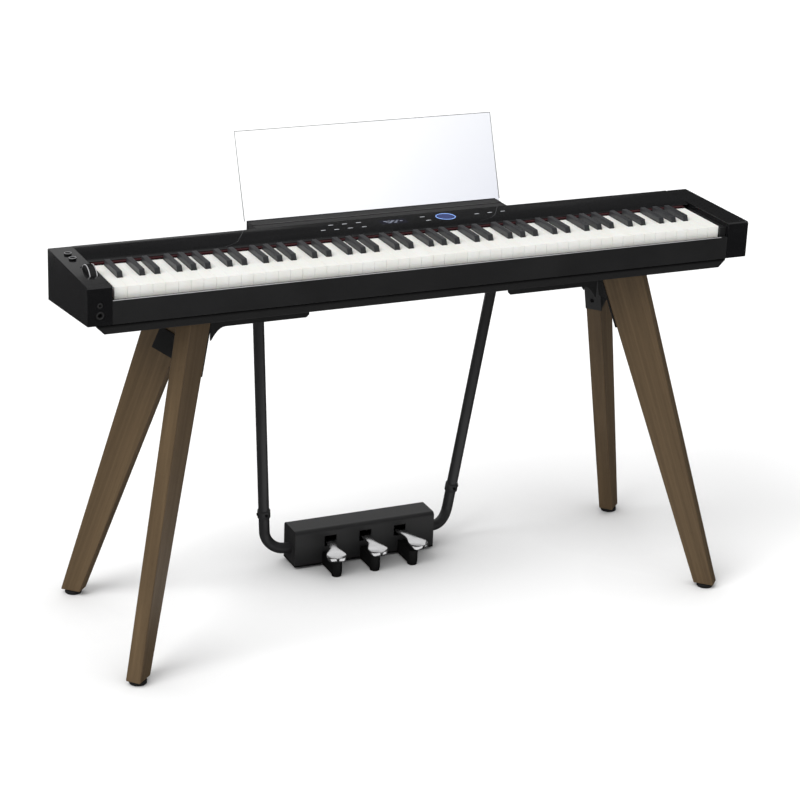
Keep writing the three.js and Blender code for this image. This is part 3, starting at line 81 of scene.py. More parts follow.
# ---------------------------------------------------------------- node graphs
class ShaderGraph:
    """A material whose nodes are laid round one Principled shader."""

    def __init__(self, name: str) -> None:
        """Start a material with a Principled shader.

        Args:
            name: The material's name.
        """
        self.material = bpy.data.materials.new(name)
        self.material.use_nodes = True
        self.nodes = self.material.node_tree.nodes
        self.links = self.material.node_tree.links
        self.shader = self.nodes["Principled BSDF"]
        self.place = self.nodes.new("ShaderNodeTexCoord").outputs["Object"]

    def wire(self, source: Socket, target: Socket) -> None:
        """Link two sockets."""
        self.links.new(source, target)

    def set(self, **values: object) -> None:
        """Set the shader's own sockets; an underscore stands for a space."""
        for key, value in values.items():
            self.shader.inputs[key.replace("_", " ")].default_value = value

    def feed(self, name: str, source: Socket) -> None:
        """Link a source to one of the shader's own sockets."""
        self.wire(source, self.shader.inputs[name])

    def mapped(self, scale: Point, *turns: Point) -> Socket:
        """Object coordinates, turned and stretched.

        Args:
            scale: Stretch along each axis, after the turns.
            turns: Euler angles in radians, one turn after another.

        Returns:
            The vector socket.
        """
        vector = self.place
        steps = [("Rotation", turn) for turn in turns] + [("Scale", scale)]
        for socket, value in steps:
            step = self.nodes.new("ShaderNodeMapping")
            step.inputs[socket].default_value = value
            self.wire(vector, step.inputs["Vector"])
            vector = step.outputs["Vector"]
        return vector

    def noise(self, vector: Socket, scale: float, detail: float = 3, rough: float = 0.5) -> Socket:
        """Noise over a vector.

        Args:
            vector: Where it is read.
            scale: Repeats in each unit of the vector.
            detail: Octaves.
            rough: Weight of the finer octaves.

        Returns:
            The factor socket, about 0.5 on average.
        """
        made = self.nodes.new("ShaderNodeTexNoise")
        made.inputs["Scale"].default_value = scale
        made.inputs["Detail"].default_value = detail
        made.inputs["Roughness"].default_value = rough
        self.wire(vector, made.inputs["Vector"])
        return made.outputs["Fac"]

    def waves(self, vector: Socket, scale: float, distortion: float) -> Socket:
        """Banded rings across the X axis of a vector.

        Args:
            vector: Where they are read.
            scale: Bands in each unit.
            distortion: How far noise pushes them.

        Returns:
            The factor socket.
        """
        made = self.nodes.new("ShaderNodeTexWave")
        made.inputs["Scale"].default_value = scale
        made.inputs["Distortion"].default_value = distortion
        made.inputs["Detail"].default_value = 2
        self.wire(vector, made.inputs["Vector"])
        return made.outputs["Fac"]

    def ramp(self, factor: Socket, stops: Sequence[tuple[float, Colour]]) -> Socket:
        """Colours spread along a factor.

        Args:
            factor: The value that chooses.
            stops: Pairs of place and colour, in order.

        Returns:
            The colour socket.
        """
        made = self.nodes.new("ShaderNodeValToRGB")
        band = made.color_ramp
        while len(band.elements) < len(stops):
            band.elements.new(0.5)
        for element, (place, colour) in zip(band.elements, stops):
            element.position = place
            element.color = (*colour, 1)
        self.wire(factor, made.inputs["Fac"])
        return made.outputs["Color"]

    def blend(self, factor: Socket | float, first: Socket, second: Socket) -> Socket:
        """Mix two colours.

        Args:
            factor: Share of the second.
            first: Colour at 0.
            second: Colour at 1.

        Returns:
            The mixed colour.
        """
        made = self.nodes.new("ShaderNodeMix")
        made.data_type = "RGBA"
        if isinstance(factor, float):
            made.inputs["Factor"].default_value = factor
        else:
            self.wire(factor, made.inputs["Factor"])
        self.wire(first, made.inputs["A"] if made.inputs["A"].type == "RGBA" else made.inputs[6])
        self.wire(second, made.inputs["B"] if made.inputs["B"].type == "RGBA" else made.inputs[7])
        return made.outputs[2]

    def spread(self, factor: Socket, low: float, high: float) -> Socket:
        """Map a factor from 0..1 to low..high.

        Args:
            factor: Value to map.
            low: Result at 0.
            high: Result at 1.

        Returns:
            The mapped value.
        """
        made = self.nodes.new("ShaderNodeMapRange")
        made.inputs["To Min"].default_value = low
        made.inputs["To Max"].default_value = high
        self.wire(factor, made.inputs["Value"])
        return made.outputs["Result"]

    def along(self, weights: Point, start: float, end: float) -> Socket:
        """How far a place lies along a direction.

        Args:
            weights: The direction; its length scales the distance.
            start: Distance that gives 0.
            end: Distance that gives 1.

        Returns:
            A factor held between 0 and 1.
        """
        dot = self.nodes.new("ShaderNodeVectorMath")
        dot.operation = "DOT_PRODUCT"
        dot.inputs[1].default_value = weights
        self.wire(self.place, dot.inputs[0])
        made = self.nodes.new("ShaderNodeMapRange")
        made.inputs["From Min"].default_value = start
        made.inputs["From Max"].default_value = end
        self.wire(dot.outputs["Value"], made.inputs["Value"])
        return made.outputs["Result"]

    def bump(self, height: Socket, distance: float, strength: float = 1.0) -> None:
        """Raise the surface by a height.

        Args:
            height: Factor from 0 to 1.
            distance: Height in metres at 1.
            strength: How much of it shows.
        """
        made = self.nodes.new("ShaderNodeBump")
        made.inputs["Distance"].default_value = distance
        made.inputs["Strength"].default_value = strength
        self.wire(height, made.inputs["Height"])
        self.feed("Normal", made.outputs["Normal"])


class GeometryTree:
    """A Geometry Nodes tree that turns a mesh of points or lines into finished geometry."""

    KINDS = {
        float: "NodeSocketFloat",
        int: "NodeSocketInt",
        bpy.types.Material: "NodeSocketMaterial",
    }

    def __init__(self, name: str) -> None:
        """Start a tree with a geometry input, a material input and a geometry output.

        Args:
            name: The tree's name.
        """
        self.tree = bpy.data.node_groups.new(name, "GeometryNodeTree")
        self.tree.interface.new_socket(
            "Geometry", in_out="INPUT", socket_type="NodeSocketGeometry"
        )
        self.tree.interface.new_socket(
            "Geometry", in_out="OUTPUT", socket_type="NodeSocketGeometry"
        )
        self.ids: dict[str, str] = {}
        self.entry = self.tree.nodes.new("NodeGroupInput")
        self.size("Material", bpy.types.Material)

    def size(self, name: str, kind: type) -> None:
        """Add a named input."""
        made = self.tree.interface.new_socket(name, in_out="INPUT", socket_type=self.KINDS[kind])
        self.ids[name] = made.identifier

    def given(self, name: str) -> Socket:
        """The socket of a named input inside the tree."""
        return self.entry.outputs[name]

    def node(self, kind: str, inputs: dict[str, object] | None = None, **settings: object) -> Node:
        """Add a node.

        Args:
            kind: Its type.
            inputs: Sockets to link or values to set, by input name.
            settings: Its own properties.

        Returns:
            The node.
        """
        made = self.tree.nodes.new(kind)
        for key, value in settings.items():
            setattr(made, key, value)
        for key, value in (inputs or {}).items():
            if isinstance(value, Socket):
                self.tree.links.new(value, made.inputs[key])
            else:
                made.inputs[key].default_value = value
        return made

    def end(self, geometry: Socket) -> None:
        """Realize the instances, give them the material and close the tree."""
        real = self.node("GeometryNodeRealizeInstances", {"Geometry": geometry})
        smooth = self.node("GeometryNodeSetShadeSmooth", {"Geometry": real.outputs["Geometry"]})
        dressed = self.node(
            "GeometryNodeSetMaterial",
            {"Geometry": smooth.outputs["Geometry"], "Material": self.given("Material")},
        )
        leave = self.tree.nodes.new("NodeGroupOutput")
        self.tree.links.new(dressed.outputs["Geometry"], leave.inputs["Geometry"])

    def run(self, source: bpy.types.Mesh, **values: object) -> bpy.types.Mesh:
        """Apply the tree to a mesh.

        Args:
            source: Points or lines that the tree works on.
            values: The named inputs, with an underscore for a space.

        Returns:
            The finished plain mesh.
        """
        holder = bpy.data.objects.new(source.name, source)
        bpy.context.scene.collection.objects.link(holder)
        modifier = holder.modifiers.new("tree", "NODES")
        modifier.node_group = self.tree
        for key, value in values.items():
            modifier[self.ids[key.replace("_", " ")]] = value
        made = real_mesh(holder)
        bpy.data.objects.remove(holder)
        return made


def real_mesh(holder: bpy.types.Object) -> bpy.types.Mesh:
    """The mesh of an object with its modifiers applied."""
    bpy.context.view_layer.update()
    graph = bpy.context.evaluated_depsgraph_get()
    return bpy.data.meshes.new_from_object(holder.evaluated_get(graph), depsgraph=graph)


# ---------------------------------------------------------------- finishes
@dataclass(frozen=True)
class Finish:
    """A finish that is made once and shared."""

    name: str

    def material(self) -> bpy.types.Material:
        """The finish's material, made on first use."""
        own_name = f"finish_{self.name}"
        return bpy.data.materials.get(own_name) or self.build(ShaderGraph(own_name))

    def build(self, graph: ShaderGraph) -> bpy.types.Material:
        """Lay the finish's nodes.

        Args:
            graph: An empty graph.

        Returns:
            The finished material.
        """
        raise NotImplementedError


@dataclass(frozen=True)
class Moulded(Finish):
    """Satin moulded plastic or powder coat with a fine grain."""

    colour: Colour = (0.02, 0.02, 0.021)
    rough: float = 0.45
    grain: float = 1800
    height: float = 0.00006
    metal: float = 0.0
    shine: float = 0.5

    def build(self, graph: ShaderGraph) -> bpy.types.Material:
        """Lay the finish's nodes.

        Args:
            graph: An empty graph.

        Returns:
            The finished material.
        """
        cloudy = graph.noise(graph.place, 9, 3)
        fine = graph.noise(graph.place, self.grain, 2)
        dark = tuple(0.86 * c for c in self.colour)
        light = tuple(1.14 * c for c in self.colour)
        graph.feed("Base Color", graph.ramp(cloudy, [(0.3, dark), (0.7, light)]))
        patchy = graph.spread(cloudy, self.rough - 0.05, self.rough + 0.05)
        graph.feed("Roughness", patchy)
        graph.bump(fine, self.height)
        graph.set(Metallic=self.metal, Specular_IOR_Level=self.shine)
        return graph.material


@dataclass(frozen=True)
class PaintedShadeCoat(Moulded):
    """Powder coat that darkens upwards with painted shade, where the key slip overhangs the rail.
    """

    painted_shade_from: float = 0.656
    painted_shade_to: float = 0.661

    def build(self, graph: ShaderGraph) -> bpy.types.Material:
        """Lay the finish's nodes.

        Args:
            graph: An empty graph.

        Returns:
            The finished material.
        """
        super().build(graph)
        # Painted shade: colour and sheen fade towards the top, under the key slip's overhang.
        upper = graph.along((0, 0, 1), self.painted_shade_from, self.painted_shade_to)
        dark = tuple(0.2 * c for c in self.colour)
        graph.feed("Base Color", graph.ramp(upper, [(0.0, self.colour), (1.0, dark)]))
        graph.feed("Specular IOR Level", graph.spread(upper, self.shine, 0.05))
        return graph.material


@dataclass(frozen=True)
class Lacquer(Finish):
    """Deep gloss black with the faint waviness of a moulded panel."""

    colour: Colour = (0.006, 0.006, 0.0065)
    rough: float = 0.07

    def build(self, graph: ShaderGraph) -> bpy.types.Material:
        """Lay the finish's nodes.

        Args:
            graph: An empty graph.

        Returns:
            The finished material.
        """
        wipe = graph.noise(graph.mapped((3, 14, 14)), 2.2, 4)
        dust = graph.noise(graph.place, 900, 1)
        lighter = tuple(1.5 * c for c in self.colour)
        graph.feed("Base Color", graph.ramp(wipe, [(0.35, self.colour), (0.8, lighter)]))
        graph.feed("Roughness", graph.spread(wipe, self.rough - 0.02, self.rough + 0.05))
        graph.bump(dust, 0.000004)
        graph.set(Specular_IOR_Level=0.5, Coat_Weight=0.3, Coat_Roughness=0.03)
        return graph.material


@dataclass(frozen=True)
class KeyWhite(Finish):
    """White key tops, faintly warm, with the fine drag of an ivory-feel surface."""

    colour: Colour = (0.83, 0.83, 0.80)

    def build(self, graph: ShaderGraph) -> bpy.types.Material:
        """Lay the finish's nodes.

        Args:
            graph: An empty graph.

        Returns:
            The finished material.
        """
        streak = graph.noise(graph.mapped((900, 40, 900)), 1, 3)
        tone = graph.noise(graph.mapped((42, 2, 2)), 1, 1)
        warm = (self.colour[0] * 0.97, self.colour[1] * 0.965, self.colour[2] * 0.94)
        graph.feed("Base Color", graph.ramp(tone, [(0.3, warm), (0.65, self.colour)]))
        graph.feed("Roughness", graph.spread(streak, 0.22, 0.42))
        graph.bump(streak, 0.00001)
        graph.set(Specular_IOR_Level=0.45, Subsurface_Weight=0.04, Subsurface_Scale=0.002)
        return graph.material


@dataclass(frozen=True)
class KeyBlack(Finish):
    """Black keys with the long fine grain of an ebony-feel surface."""

    colour: Colour = (0.028, 0.029, 0.032)

    def build(self, graph: ShaderGraph) -> bpy.types.Material:
        """Lay the finish's nodes.

        Args:
            graph: An empty graph.

        Returns:
            The finished material.
        """
        grain = graph.noise(graph.mapped((1400, 26, 1400)), 1, 4, 0.6)
        pores = graph.noise(graph.mapped((2600, 160, 2600)), 1, 2)
        dark = tuple(0.55 * c for c in self.colour)
        light = tuple(1.5 * c for c in self.colour)
        graph.feed("Base Color", graph.ramp(grain, [(0.3, dark), (0.72, light)]))
        graph.feed("Roughness", graph.spread(grain, 0.3, 0.5))
        graph.bump(pores, 0.00003)
        graph.set(Specular_IOR_Level=0.6)
        return graph.material


@dataclass(frozen=True)
class Felt(Finish):
    """Pressed wool felt with short fibres."""

    colour: Colour = (0.17, 0.012, 0.022)

    def build(self, graph: ShaderGraph) -> bpy.types.Material:
        """Lay the finish's nodes.

        Args:
            graph: An empty graph.

        Returns:
            The finished material.
        """
        fibre = graph.noise(graph.mapped((700, 1900, 1900)), 1, 4, 0.65)
        clump = graph.noise(graph.place, 160, 3)
        dark = tuple(0.45 * c for c in self.colour)
        worn = graph.ramp(clump, [(0.3, self.colour), (0.75, tuple(1.6 * c for c in self.colour))])
        woven = graph.ramp(fibre, [(0.25, dark), (0.7, self.colour)])
        graph.feed("Base Color", graph.blend(0.4, woven, worn))
        graph.bump(fibre, 0.0004)
        graph.set(Roughness=0.95, Sheen_Weight=0.05, Sheen_Roughness=0.5, Specular_IOR_Level=0.05)
        return graph.material


@dataclass(frozen=True)
class Walnut(Finish):
    """Oiled walnut whose grain runs up a leaning plank."""

    azimuth: float = 0.0
    lean: float = 0.0
    light: Colour = (0.117, 0.078, 0.041)
    dark: Colour = (0.030, 0.018, 0.0085)

    def build(self, graph: ShaderGraph) -> bpy.types.Material:
        """Lay the finish's nodes.

        Args:
            graph: An empty graph.

        Returns:
            The finished material.
        """
        turns = ((0.0, 0.0, -self.azimuth), (0.0, self.lean, 0.0))
        figure = graph.waves(graph.mapped((26, 26, 1.1), *turns), 0.6, 5.0)
        streak = graph.noise(graph.mapped((95, 95, 2.4), *turns), 1, 5, 0.62)
        pores = graph.noise(graph.mapped((1500, 1500, 38), *turns), 1, 2, 0.7)
        tint = graph.noise(graph.mapped((22, 22, 0.8), *turns), 1, 2)
        middle = tuple((a + b) / 2 for a, b in zip(self.light, self.dark))
        rings = graph.ramp(figure, [(0.1, middle), (0.55, self.light), (0.9, middle)])
        lines = graph.ramp(streak, [(0.3, self.dark), (0.52, middle), (0.7, self.light)])
        grey = graph.ramp(tint, [(0.35, middle), (0.7, tuple(1.15 * c for c in self.light))])
        veined = graph.blend(0.55, rings, lines)
        toned = graph.blend(0.3, veined, grey)
        pitted = graph.ramp(pores, [(0.28, tuple(0.4 * c for c in self.dark)), (0.42, self.light)])
        graph.feed("Base Color", graph.blend(0.22, toned, pitted))
        graph.feed("Roughness", graph.spread(streak, 0.58, 0.42))
        graph.bump(pores, 0.00012)
        graph.set(Specular_IOR_Level=0.2)
        return graph.material


@dataclass(frozen=True)
class Polished(Finish):
    """Chromed metal with faint polishing lines."""

    colour: Colour = (0.80, 0.80, 0.81)
    rough: float = 0.16

    def build(self, graph: ShaderGraph) -> bpy.types.Material:
        """Lay the finish's nodes.

        Args:
            graph: An empty graph.

        Returns:
            The finished material.
        """
        lines = graph.noise(graph.mapped((1800, 60, 1800)), 1, 3)
        smear = graph.noise(graph.place, 40, 3)
        dull = tuple(0.88 * c for c in self.colour)
        graph.feed("Base Color", graph.ramp(smear, [(0.3, dull), (0.7, self.colour)]))
        graph.feed("Roughness", graph.spread(lines, self.rough - 0.04, self.rough + 0.08))
        graph.bump(lines, 0.000006)
        graph.set(Metallic=1.0)
        return graph.material


@dataclass(frozen=True)
class Acrylic(Finish):
    """Clear cast acrylic, tinted grey-blue towards the lower right by painted shade."""

    tint: Colour = (0.995, 0.997, 1.0)
    shade: Colour = (0.70, 0.715, 0.77)

    def build(self, graph: ShaderGraph) -> bpy.types.Material:
        """Lay the finish's nodes.

        Args:
            graph: An empty graph.

        Returns:
            The finished material.
        """
        wipe = graph.noise(graph.place, 14, 4)
        # Painted shade: the sheet's tint darkens from the upper left to the lower right.
        painted_shade_lower_right = graph.along((1.0, 0, -1.1), -1.15, -0.55)
        graph.feed("Base Color", graph.ramp(painted_shade_lower_right, [(0.0, self.tint), (1.0, self.shade)]))
        graph.feed("Roughness", graph.spread(wipe, 0.0, 0.02))
        graph.set(Transmission_Weight=1.0, IOR=1.12)
        return graph.material


@dataclass(frozen=True)
class Lit(Finish):
    """A light printed or glowing mark behind a smooth surface."""

    colour: Colour = (0.6, 0.75, 1.0)
    glow: float = 1.0

    def build(self, graph: ShaderGraph) -> bpy.types.Material:
        """Lay the finish's nodes.

        Args:
            graph: An empty graph.

        Returns:
            The finished material.
        """
        uneven = graph.noise(graph.place, 220, 2)
        dim = tuple(0.7 * c for c in self.colour)
        shade = graph.ramp(uneven, [(0.3, dim), (0.7, self.colour)])
        graph.feed("Base Color", shade)
        graph.feed("Emission Color", shade)
        graph.set(Emission_Strength=self.glow, Roughness=0.25)
        return graph.material


@dataclass(frozen=True)
class Circuit(Finish):
    """Green circuit board with copper lines under the mask."""

    board: Colour = (0.012, 0.09, 0.035)
    copper: Colour = (0.05, 0.22, 0.09)

    def build(self, graph: ShaderGraph) -> bpy.types.Material:
        """Lay the finish's nodes.

        Args:
            graph: An empty graph.

        Returns:
            The finished material.
        """
        lines = graph.nodes.new("ShaderNodeTexBrick")
        lines.inputs["Color1"].default_value = (*self.board, 1)
        lines.inputs["Color2"].default_value = (*tuple(0.8 * c for c in self.board), 1)
        lines.inputs["Mortar"].default_value = (*self.copper, 1)
        lines.inputs["Mortar Size"].default_value = 0.03
        graph.wire(graph.mapped((60, 60, 60)), lines.inputs["Vector"])
        graph.feed("Base Color", lines.outputs["Color"])
        graph.bump(lines.outputs["Fac"], 0.00005)
        graph.set(Roughness=0.4)
        return graph.material


class Shop(Enum):
    """Every finish on the instrument."""

    GLOSS = Lacquer("gloss_black")
    CHEEK = Lacquer("cheek_black", (0.0045, 0.0045, 0.005), 0.12)
    CASE = Moulded("case_black", (0.0125, 0.0125, 0.013), 0.42)
    SLIP = Moulded("slip_black", (0.0135, 0.0135, 0.014), 0.36, 1400)
    WHITE = KeyWhite("key_white")
    BLACK = KeyBlack("key_black")
    # The felt's colour is darkened well below its own red: painted shade from the panel lip above
    # it.
    FELT = Felt("red_felt", (0.028, 0.0025, 0.004))
    GLASS = Lacquer("display_black", (0.012, 0.012, 0.02), 0.05)
    MARK = Lit("panel_mark", (0.55, 0.57, 0.60), 0.5)
    RING = Lit("ring_blue", (0.30, 0.50, 1.0), 0.9)
    HALO = Lit("halo_blue", (0.008, 0.022, 0.12), 0.5)
    SCREEN = Lit("screen_mark", (0.30, 0.33, 0.42), 0.45)
    CONTROL = Moulded("control_black", (0.011, 0.011, 0.0115), 0.42, 2400, 0.00004, 0.0, 0.3)
    SILVER = Moulded("silver_trim", (0.36, 0.36, 0.37), 0.3, 2600, 0.00002, 0.0, 0.6)
    SLEEVE = Moulded("socket_sleeve", (0.035, 0.035, 0.035), 0.3, 2600, 0.00002, 0.0, 0.6)
    # The front rail carries painted shade along its top, under the key slip.
    RAIL = PaintedShadeCoat("rail_black_painted_shade", (0.017, 0.017, 0.0175), 0.5, 2100, 0.00008)
    HOLDER_LINE = Moulded("holder_line", (0.075, 0.075, 0.078), 0.4, 1500, 0.00002)
    REST_EDGE = Moulded("rest_edge", (0.24, 0.245, 0.25), 0.3, 1500, 0.00001, 0.0, 0.2)
    COATED = Moulded("coated_steel", (0.013, 0.013, 0.0135), 0.5, 2100, 0.00008, 0.0, 0.4)
    TUBE = Moulded("coated_tube", (0.017, 0.017, 0.018), 0.42, 2100, 0.00006, 0.0, 0.5)
    SCREW = Moulded("black_screw", (0.01, 0.01, 0.011), 0.3, 3000, 0.00002, 0.6)
    PEDAL_BOX = Moulded("pedal_box_grey", (0.0165, 0.0165, 0.017), 0.42, 1500, 0.00008, 0.0, 0.35)
    STOPPER = Moulded("stopper_black", (0.005, 0.005, 0.005), 0.6, 1500, 0.00006, 0.0, 0.15)
    RUBBER = Moulded("rubber", (0.012, 0.012, 0.012), 0.85, 900, 0.0001, 0.0, 0.2)
    CHROME = Polished("chrome")
    CLEAR = Acrylic("clear_acrylic")
    CIRCUIT = Circuit("circuit_board")
    PAPER = Moulded("speaker_paper", (0.015, 0.015, 0.016), 0.8, 700, 0.0002, 0.0, 0.2)

    def material(self) -> bpy.types.Material:
        """The material of this finish."""
        return self.value.material()


# ---------------------------------------------------------------- base of a sub-assembly
@dataclass
class SubAssembly:
    """Pieces of the instrument that are made and dressed together."""

    soft_edge: float = 0.0008
    slots: dict[str, str] = field(
        default_factory=lambda: {
            s["node"]: s["material_slot"] for s in FRAME["record"]["subparts"]
        }
    )

    def add(
        self,
        name: str,
        mesh: bpy.types.Mesh,
        finish: Shop | Finish,
        node: str,
        replaces: Iterable[str] = (),
    ) -> bpy.types.Object:
        """Hand in a new piece.

        Args:
            name: Its name.
            mesh: Its mesh, in place.
            finish: What it is made of.
            node: The frame's node whose body it takes.
            replaces: The frame's nodes that it stands for.

        Returns:
            The piece.
        """
        mesh.materials.clear()
        mesh.materials.append(finish.material())
        piece = bpy.data.objects.new(name, mesh)
        bpy.context.scene.collection.objects.link(piece)
        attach(piece, FRAME["nodes"][node]["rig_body"])
        if replaces:
            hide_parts(*replaces)
        return piece

    def dress(self, node: str, finish: Shop | Finish) -> None:
        """Give a node of the frame a finish as it is."""
        target = FRAME["nodes"][node]
        for slot in target.material_slots:
            slot.material = finish.material()
        LOG.info("%s: dressed", node)

    def soften(
        self,
        node: str,
        finish: Shop | Finish,
        width: float | None = None,
        segments: int = 2,
    ) -> bpy.types.Object:
        """Replace a node by a copy with its edges rounded.

        Args:
            node: The frame's node.
            finish: What the copy is made of.
            width: Size of the rounding in metres, or None for the usual one.
            segments: Steps in each rounding.

        Returns:
            The piece.
        """
        mesh = rounded(merged_copy(node), width or self.soft_edge, segments)
        return self.add(f"{node}_finished", mesh, finish, node, [node])


def merged_copy(node: str) -> bpy.types.Mesh:
    """A copy of a node's mesh with its points merged and its flat faces joined."""
    form = bmesh.new()
    form.from_mesh(FRAME["nodes"][node].data)
    bmesh.ops.remove_doubles(form, verts=form.verts, dist=2e-6)
    bmesh.ops.dissolve_limit(
        form, angle_limit=math.radians(0.6), verts=form.verts, edges=form.edges
    )
    mesh = plain_mesh(node, form)
    form.free()
    return mesh


def plain_mesh(name: str, form: bmesh.types.BMesh) -> bpy.types.Mesh:
    """A mesh that holds only the points and faces of a form."""
    form.verts.index_update()
    mesh = bpy.data.meshes.new(name)
    mesh.from_pydata(
        [v.co[:] for v in form.verts], [], [[v.index for v in f.verts] for f in form.faces]
    )
    mesh.update()
    return mesh


def rounded(
    mesh: bpy.types.Mesh, width: float, segments: int = 2, angle: float = 28
) -> bpy.types.Mesh:
    """Round the sharp edges of a mesh.

    Args:
        mesh: A closed mesh.
        width: Size of the rounding in metres.
        segments: Steps in each rounding.
        angle: Edges sharper than this many degrees are rounded.

    Returns:
        The rounded mesh, with flat faces shaded flat.
    """
    for face in mesh.polygons:
        face.use_smooth = True
    holder = bpy.data.objects.new(mesh.name, mesh)
    bpy.context.scene.collection.objects.link(holder)
    bevel = holder.modifiers.new("edges", "BEVEL")
    bevel.width = width
    bevel.segments = segments
    bevel.limit_method = "ANGLE"
    bevel.angle_limit = math.radians(angle)
    bevel.harden_normals = True
    made = real_mesh(holder)
    bpy.data.objects.remove(holder)
    return made


def swollen(mesh: bpy.types.Mesh, by: float) -> bpy.types.Mesh:
    """Move the faces that look along X outwards.

    Args:
        mesh: A closed mesh.
        by: How far, in metres.

    Returns:
        The same mesh.
    """
    ways = {}
    for face in mesh.polygons:
        if abs(face.normal.x) > 0.9:
            ways.update({i: math.copysign(by, face.normal.x) for i in face.vertices})
    for i, way in ways.items():
        mesh.vertices[i].co.x += way
    mesh.update()
    return mesh


def points_mesh(name: str, points: Sequence[Point], aims: Sequence[Point] = ()) -> bpy.types.Mesh:
    """Loose points for a geometry tree.

    Args:
        name: The mesh's name.
        points: Where they are.
        aims: Where each looks, kept as the attribute "aim".

    Returns:
        The mesh.
    """
    mesh = bpy.data.meshes.new(name)
    mesh.from_pydata([tuple(p) for p in points], [], [])
    if aims:
        layer = mesh.attributes.new("aim", "FLOAT_VECTOR", "POINT")
        for item, aim in zip(layer.data, aims):
            item.vector = aim
    return mesh


def path_mesh(name: str, points: Sequence[Point]) -> bpy.types.Mesh:
    """A line through points, for a geometry tree."""
    mesh = bpy.data.meshes.new(name)
    mesh.from_pydata([tuple(p) for p in points], [(i, i + 1) for i in range(len(points) - 1)], [])
    return mesh


def lofted(name: str, rings: Sequence[Sequence[Point]]) -> bpy.types.Mesh:
    """Skin equal rings of points and close both ends.

    Args:
        name: The mesh's name.
        rings: Loops of points, one after another.

    Returns:
        A closed, smooth mesh that faces outwards.
    """
    form = bmesh.new()
    loops = [[form.verts.new(p) for p in ring] for ring in rings]
    for near, far in zip(loops, loops[1:]):
        for i, vert in enumerate(near):
            after = (i + 1) % len(near)
            form.faces.new((vert, near[after], far[after], far[i]))
    form.faces.new(list(reversed(loops[0])))
    form.faces.new(loops[-1])
    bmesh.ops.remove_doubles(form, verts=form.verts, dist=1e-6)
    bmesh.ops.recalc_face_normals(form, faces=form.faces)
    for face in form.faces:
        face.smooth = True
    mesh = bpy.data.meshes.new(name)
    form.to_mesh(mesh)
    form.free()
    return mesh


def block_mesh(
    name: str, low: Point, high: Point, width: float, segments: int = 2
) -> bpy.types.Mesh:
    """A block with rounded edges.

    Args:
        name: The mesh's name.
        low: Lowest corner.
        high: Highest corner.
        width: Size of the rounding.
        segments: Steps in each rounding.

    Returns:
        The mesh.
    """
    form = bmesh.new()
    bmesh.ops.create_cube(form, size=1)
    size = [b - a for a, b in zip(low, high)]
    centre = Vector([(a + b) / 2 for a, b in zip(low, high)])
    bmesh.ops.transform(
        form, matrix=Matrix.Translation(centre) @ Matrix.Diagonal((*size, 1)), verts=form.verts
    )
    mesh = plain_mesh(name, form)
    form.free()
    return rounded(mesh, width, segments)


def turned(name: str, profile: Sequence[tuple[float, float]], steps: int = 40) -> bpy.types.Mesh:
    """Turn a profile round the Z axis.

    Args:
        name: The mesh's name.
        profile: Pairs of radius and height, with the first and last on the axis.
        steps: Sides.

    Returns:
        A closed mesh.
    """
    rings = []
    for radius, height in profile[1:-1]:
        angles = [FULL * i / steps for i in range(steps)]
        rings.append([(radius * math.cos(a), radius * math.sin(a), height) for a in angles])
    mesh = lofted(name, rings)
    mesh.set_sharp_from_angle(angle=math.radians(40))
    return mesh


def moved(mesh: bpy.types.Mesh, *steps: Matrix) -> bpy.types.Mesh:
    """The mesh after steps, the first of which is the last applied."""
    whole = Matrix.Identity(4)
    for step in steps:
        whole = whole @ step
    mesh.transform(whole)
    mesh.update()
    return mesh


# ---------------------------------------------------------------- geometry trees
def screw_tree() -> GeometryTree:
    """Round screw heads with a cross recess, one on each point, along its aim."""
    tree = GeometryTree("screw_heads")
    for name in ("Radius", "Height", "Slot"):
        tree.size(name, float)
    head = tree.node(
        "GeometryNodeMeshCylinder",
        {"Vertices": 20, "Radius": tree.given("Radius"), "Depth": tree.given("Height")},
    )
    twice = tree.node("ShaderNodeMath", {0: tree.given("Radius"), 1: 1.25}, operation="MULTIPLY")
    arms = []
    for along, across in (
        (twice.outputs[0], tree.given("Slot")), (tree.given("Slot"), twice.outputs[0])
    ):
        size = tree.node(
            "ShaderNodeCombineXYZ", {"X": along, "Y": across, "Z": tree.given("Height")}
        )
        bar = tree.node("GeometryNodeMeshCube", {"Size": size.outputs["Vector"]})
        lift = tree.node("ShaderNodeCombineXYZ", {"Z": tree.given("Height")})
        half = tree.node(
            "ShaderNodeVectorMath", {0: lift.outputs[0], 1: (0.5, 0.5, 0.6)}, operation="MULTIPLY"
        )
        raised = tree.node(
            "GeometryNodeTransform",
            {"Geometry": bar.outputs["Mesh"], "Translation": half.outputs[0]}
        )
        arms.append(raised.outputs["Geometry"])
    cut = tree.node(
        "GeometryNodeMeshBoolean", {"Mesh 1": head.outputs["Mesh"]}, operation="DIFFERENCE"
    )
    for arm in arms:
        tree.tree.links.new(arm, cut.inputs["Mesh 2"])
    aim = tree.node("GeometryNodeInputNamedAttribute", {"Name": "aim"}, data_type="FLOAT_VECTOR")
    facing = tree.node(
        "FunctionNodeAlignRotationToVector", {"Vector": aim.outputs["Attribute"]}, axis="Z"
    )
    placed = tree.node(
        "GeometryNodeInstanceOnPoints",
        {
            "Points": tree.given("Geometry"),
            "Instance": cut.outputs["Mesh"],
            "Rotation": facing.outputs["Rotation"],
        },
    )
    tree.end(placed.outputs["Instances"])
    return tree


